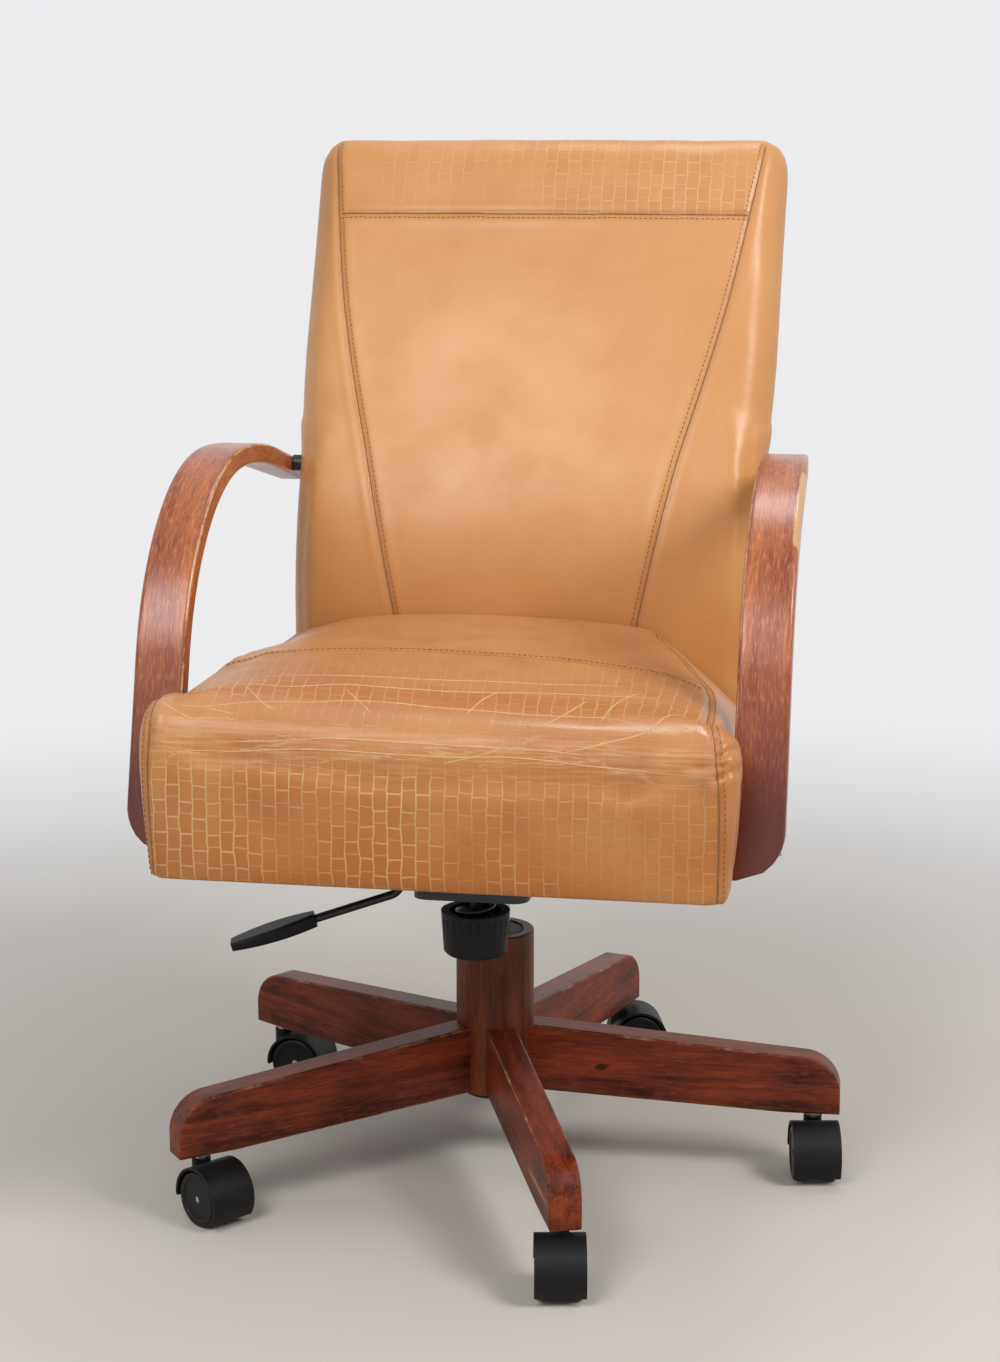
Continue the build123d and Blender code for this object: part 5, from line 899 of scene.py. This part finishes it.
lay_hide(panel, points[:, 0], back_inverse(points)[0])
for name in ("embossed", "dye_and_shade", "creased", "polish_and_sheen", "seam"):
    note(panel, name, np.zeros(len(points)))
panel.data.materials.append(back_leather)
panel.data.shade_smooth()
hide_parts("back_panel")
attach(panel, "seat_unit")

# Arms
# Laminated bentwood: thin plies glued in a curved form, so the grain follows the bend and the plies show as fine
# lines on the narrow edges. The lacquer has worn to pale wood along the corners.
ARM_INNER, ARM_WIDTH, ARM_THICK, ARM_EASE = 0.238, 0.045, 0.019, 0.004
ARM_TAPER_START, ARM_TAPER_END, ARM_TAIL_WIDTH = -0.080, 0.240, 0.022
ARM_FOOT_RADIUS, ARM_FOOT_Z, ARM_TAIL_LENGTH = 0.038, 0.349, 0.095
ARM_FOOT, ARM_BEND = np.array([-0.235, ARM_FOOT_Z]), np.array([-0.190, 0.510])
ARM_CREST, ARM_TAIL = np.array([0.021, 0.670]), np.array([0.142, 0.655])
ARM_BOLTS, BORE_RADIUS, BORE_DEPTH = ((-0.2181, 0.374), (-0.2103, 0.402), (0.1966, 0.6342)), 0.0066, 0.009


def arc_through(start, way, end, count):
    """Points and directions of the arc that leaves start along way and reaches end."""
    way = way / np.linalg.norm(way)
    side = np.array([way[1], -way[0]])
    chord = end - start
    radius = chord @ chord / (2 * chord @ side)
    centre = start + radius * side
    spoke = start - centre
    places, ways = [], []
    for t in np.linspace(0, 2 * math.atan2(chord @ side, chord @ way), count):
        turn = np.array([[math.cos(t), math.sin(t)], [-math.sin(t), math.cos(t)]])
        places.append(centre + turn @ spoke)
        ways.append(turn @ way)
    return places, ways


# The outer face's line from the foot up, round the crest and back along the tail; the inner face lies a thickness in.
foot_length = np.linalg.norm(ARM_BEND - ARM_FOOT)
lean = (ARM_BEND - ARM_FOOT) / foot_length
outer = [ARM_FOOT + (ARM_BEND - ARM_FOOT) * t for t in np.linspace(0, 1, 24, endpoint=False)]
outer_way = [lean] * len(outer)
places, ways = arc_through(ARM_BEND, lean, ARM_CREST, 60)
outer, outer_way = outer + places[:-1], outer_way + ways[:-1]
places, ways = arc_through(ARM_CREST, ways[-1], ARM_TAIL, 26)
tail = [ARM_TAIL + ways[-1] * ARM_TAIL_LENGTH * t for t in np.linspace(0, 1, 16)[1:]]
outer, outer_way = np.array(outer + places + tail), np.array(outer_way + ways + [ways[-1]] * len(tail))
inward = np.stack([outer_way[:, 1], -outer_way[:, 0]], axis=1)
arm_run = np.concatenate([[0], np.cumsum(np.linalg.norm(np.diff(outer, axis=0), axis=1))])
slip = np.clip(1 - arm_run / foot_length, 0, 1) * ARM_THICK * lean[0] / lean[1]
inner = outer + ARM_THICK * inward + slip[:, None] * outer_way

# The section: a flat bar with eased corners. Its outer edges are bared, and a chip runs along the right arm's rim.
RIM_BARED, EDGE_BARED, CHIP_BARED, CHIP_REAR, CHIP_FRONT = 0.60, 0.42, 0.80, -0.010, -0.132
CHIP_STEPS = ((0.040, 0.6), (0.038, 0.3), (0.036, 0), (0.010, 0), (0.006, 0))
# Painted shade: below this height the arms darken into their deep colour, over this fade, by up to this much.
FOOT_SHADE_Z, FOOT_SHADE_FADE, FOOT_SHADE_MOST = 0.53, 0.13, 0.9
section, edge_mark, chip_mark = [], [], []
for corner, (far_x, far_n) in enumerate(((1, 1), (0, 1), (0, 0), (1, 0))):
    for t in np.linspace(0, math.pi / 2, 6):
        angle = math.pi / 2 * corner + t
        section.append(((ARM_WIDTH - ARM_EASE if far_x else ARM_EASE) + ARM_EASE * math.cos(angle),
                        (ARM_THICK - ARM_EASE if far_n else ARM_EASE) + ARM_EASE * math.sin(angle)))
        edge_mark.append((RIM_BARED if corner == 1 else EDGE_BARED) * abs(math.sin(2 * t)))
        chip_mark.append(CHIP_BARED if corner == 0 else 0)
    if corner == 0:
        section += [(x, ARM_THICK) for x, chip in CHIP_STEPS]
        edge_mark += [0] * len(CHIP_STEPS)
        chip_mark += [chip for x, chip in CHIP_STEPS]
closed = np.array(section + section[:1])
girth = np.concatenate([[0], np.cumsum(np.linalg.norm(np.diff(closed, axis=0), axis=1))])
taper, draw = ARM_TAPER_END - ARM_TAPER_START, ARM_WIDTH - ARM_TAIL_WIDTH
taper_radius = (taper ** 2 + draw ** 2) / (2 * draw)


def arm_taper(y):
    """How much narrower the arm is at a place along it."""
    return taper_radius - math.sqrt(taper_radius ** 2 - max(y - ARM_TAPER_START, 0) ** 2)


# The deep colour is painted shade at the arms' feet.
arm_wood = lacquered_hardwood("bentwood_arm", "#BE6A3A", "#8C4022", ("#D08A58", 0.45), (0.44, 0.30, 0.32),
                              wear=0.85, uv="grain", deep="#551606")
for side, name in ((1, "arm_right"), (-1, "arm_left")):
    rings = []
    for o, i in zip(outer, inner):
        ring = []
        for x, n in section:
            y, z = o + (i - o) * (1 - n / ARM_THICK)
            drop = min(max(ARM_FOOT_RADIUS - (z - ARM_FOOT_Z), 0), ARM_FOOT_RADIUS)
            width = ARM_WIDTH - ARM_FOOT_RADIUS + math.sqrt(ARM_FOOT_RADIUS ** 2 - drop ** 2) - arm_taper(y)
            ring.append((side * (ARM_INNER + x * width / ARM_WIDTH), y, z))
        rings.append(ring)
    points, faces = skin(rings)
    uvs = [(arm_run[a + up], girth[b + on]) for a in range(len(rings) - 1) for b in range(len(section))
           for up, on in ((0, 0), (0, 1), (1, 1), (1, 0))]
    uvs += [(points[k][0] * 0.02, points[k][2]) for end in faces[-2:] for k in end]
    arm = mesh_object(f"bentwood_{name}", points, faces)
    layer = arm.data.uv_layers.new(name="grain")
    layer.data.foreach_set("uv", np.array(uvs, dtype=np.float32).ravel())
    _, y, z = points.T
    bared = np.tile(edge_mark, len(rings))
    if side > 0:
        chipped = np.clip((y - CHIP_FRONT) / 0.006, 0, 1) * np.clip((CHIP_REAR - y) / 0.03, 0, 1)
        bared = np.maximum(bared, np.tile(chip_mark, len(rings)) * chipped)
    note(arm, "bared", bared)
    # Painted shade: darker towards the foot.
    note(arm, "foot_shade", FOOT_SHADE_MOST * np.clip((FOOT_SHADE_Z - z) / FOOT_SHADE_FADE, 0, 1))
    if side < 0:
        arm.data.flip_normals()
    arm.data.materials.append(arm_wood)
    for bolt_y, bolt_z in ARM_BOLTS:
        floor_x = ARM_INNER + ARM_WIDTH - arm_taper(bolt_y) - BORE_DEPTH
        bore = tube("bore", [(side * x, bolt_y, bolt_z) for x in (floor_x, floor_x + 0.02)], BORE_RADIUS, 32)
        drill = arm.modifiers.new("drill", "BOOLEAN")
        drill.operation, drill.solver, drill.object = "DIFFERENCE", "EXACT", bore
        take_modifiers(arm)
        bpy.data.objects.remove(bore)
    arm.data.shade_smooth()
    arm.data.set_sharp_from_angle(angle=math.radians(50))
    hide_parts(name)
    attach(arm, "seat_unit")


# Floor and room
# A plain pale floor that fades into the pale room behind it. The fade and the room's brightness are only for what the
# camera sees, itself or in gloss or glass, so they put no light on the chair.
def seen_rays(tree):
    """One for rays that the camera sees, and nothing for bounced light."""
    rays = add_node(tree, "LightPath").outputs
    direct = add_node(tree, "Math", {0: rays["Is Camera Ray"], 1: rays["Is Glossy Ray"]}, operation="MAXIMUM")
    return add_node(tree, "Math", {0: direct, 1: rays["Is Transmission Ray"]}, operation="MAXIMUM")


ROOM_COLOUR, FLOOR_HALF, FADE_START, FADE_END = linear("#ECECEE"), 6, 0.45, 2.1
floor_finish, tree, shader = new_finish("pale_floor", Base_Color=linear("#D8D2C9"), Roughness=0.7,
                                        Specular_IOR_Level=0.2)
place = add_node(tree, "TexCoord").outputs["Object"]
away = add_node(tree, "VectorMath", {0: place}, operation="LENGTH")
far = add_node(tree, "MapRange", {"Value": away, "From Min": FADE_START, "From Max": FADE_END},
               interpolation_type="SMOOTHSTEP")
fade = add_node(tree, "Math", {0: far, 1: seen_rays(tree)}, operation="MULTIPLY")
glow = add_node(tree, "Emission", {"Color": ROOM_COLOUR, "Strength": 1.0})
blend = add_node(tree, "MixShader", {0: fade, 1: shader, 2: glow})
set_inputs(tree, tree.nodes["Material Output"], {"Surface": blend})
corners = ((-1, -1), (1, -1), (1, 1), (-1, 1))
floor = mesh_object("floor", [(FLOOR_HALF * x, FLOOR_HALF * y, 0) for x, y in corners], [(0, 1, 2, 3)])
floor.data.materials.append(floor_finish)

world = bpy.data.worlds.new("pale_room")
bpy.context.scene.world = world
world.use_nodes = True
tree = world.node_tree
room = tree.nodes["Background"]
set_inputs(tree, room, {"Color": linear("#E4E6EA"), "Strength": 0.36})
seen = add_node(tree, "Background", {"Color": ROOM_COLOUR, "Strength": 1.0})
blend = add_node(tree, "MixShader", {0: seen_rays(tree), 1: room, 2: seen})
set_inputs(tree, tree.nodes["World Output"], {"Surface": blend})


# Light and camera
# Three soft square lamps: a key at the left front, a fill at the right and a weak one above and behind. The camera
# stands where the photograph was taken.
def soft_lamp(name, place, target, size, power):
    """A square soft box that faces a point."""
    lamp = bpy.data.lights.new(name, "AREA")
    lamp.shape, lamp.size, lamp.energy = "SQUARE", size, power
    lamp_object = bpy.data.objects.new(name, lamp)
    lamp_object.location = place
    lamp_object.rotation_euler = (Vector(target) - Vector(place)).to_track_quat("-Z", "Y").to_euler()
    bpy.context.scene.collection.objects.link(lamp_object)


soft_lamp("key_lamp", (-0.7, -2.2, 2.4), (0, 0, 0.5), 1.3, 40)
soft_lamp("fill_lamp", (2.1, -1.0, 2.4), (0, 0, 0.6), 1.0, 46)
soft_lamp("top_lamp", (0.1, 0.8, 2.8), (0, 0, 0.4), 0.7, 10)

CAMERA_PLACE, CAMERA_LENS, CAMERA_SENSOR = (0.4145, -2.3243, 0.9486), 69.26, 36
CAMERA_TILT, CAMERA_YAW = math.radians(11.67), math.radians(10.0)
camera = bpy.data.objects.new("camera", bpy.data.cameras.new("camera"))
camera.data.lens, camera.data.sensor_width = CAMERA_LENS, CAMERA_SENSOR
camera.location = CAMERA_PLACE
way = Vector((-math.sin(CAMERA_YAW) * math.cos(CAMERA_TILT), math.cos(CAMERA_YAW) * math.cos(CAMERA_TILT),
              -math.sin(CAMERA_TILT)))
camera.rotation_euler = way.to_track_quat("-Z", "Y").to_euler()
bpy.context.scene.collection.objects.link(camera)
bpy.context.scene.camera = camera
bpy.context.scene.view_settings.view_transform = "Standard"
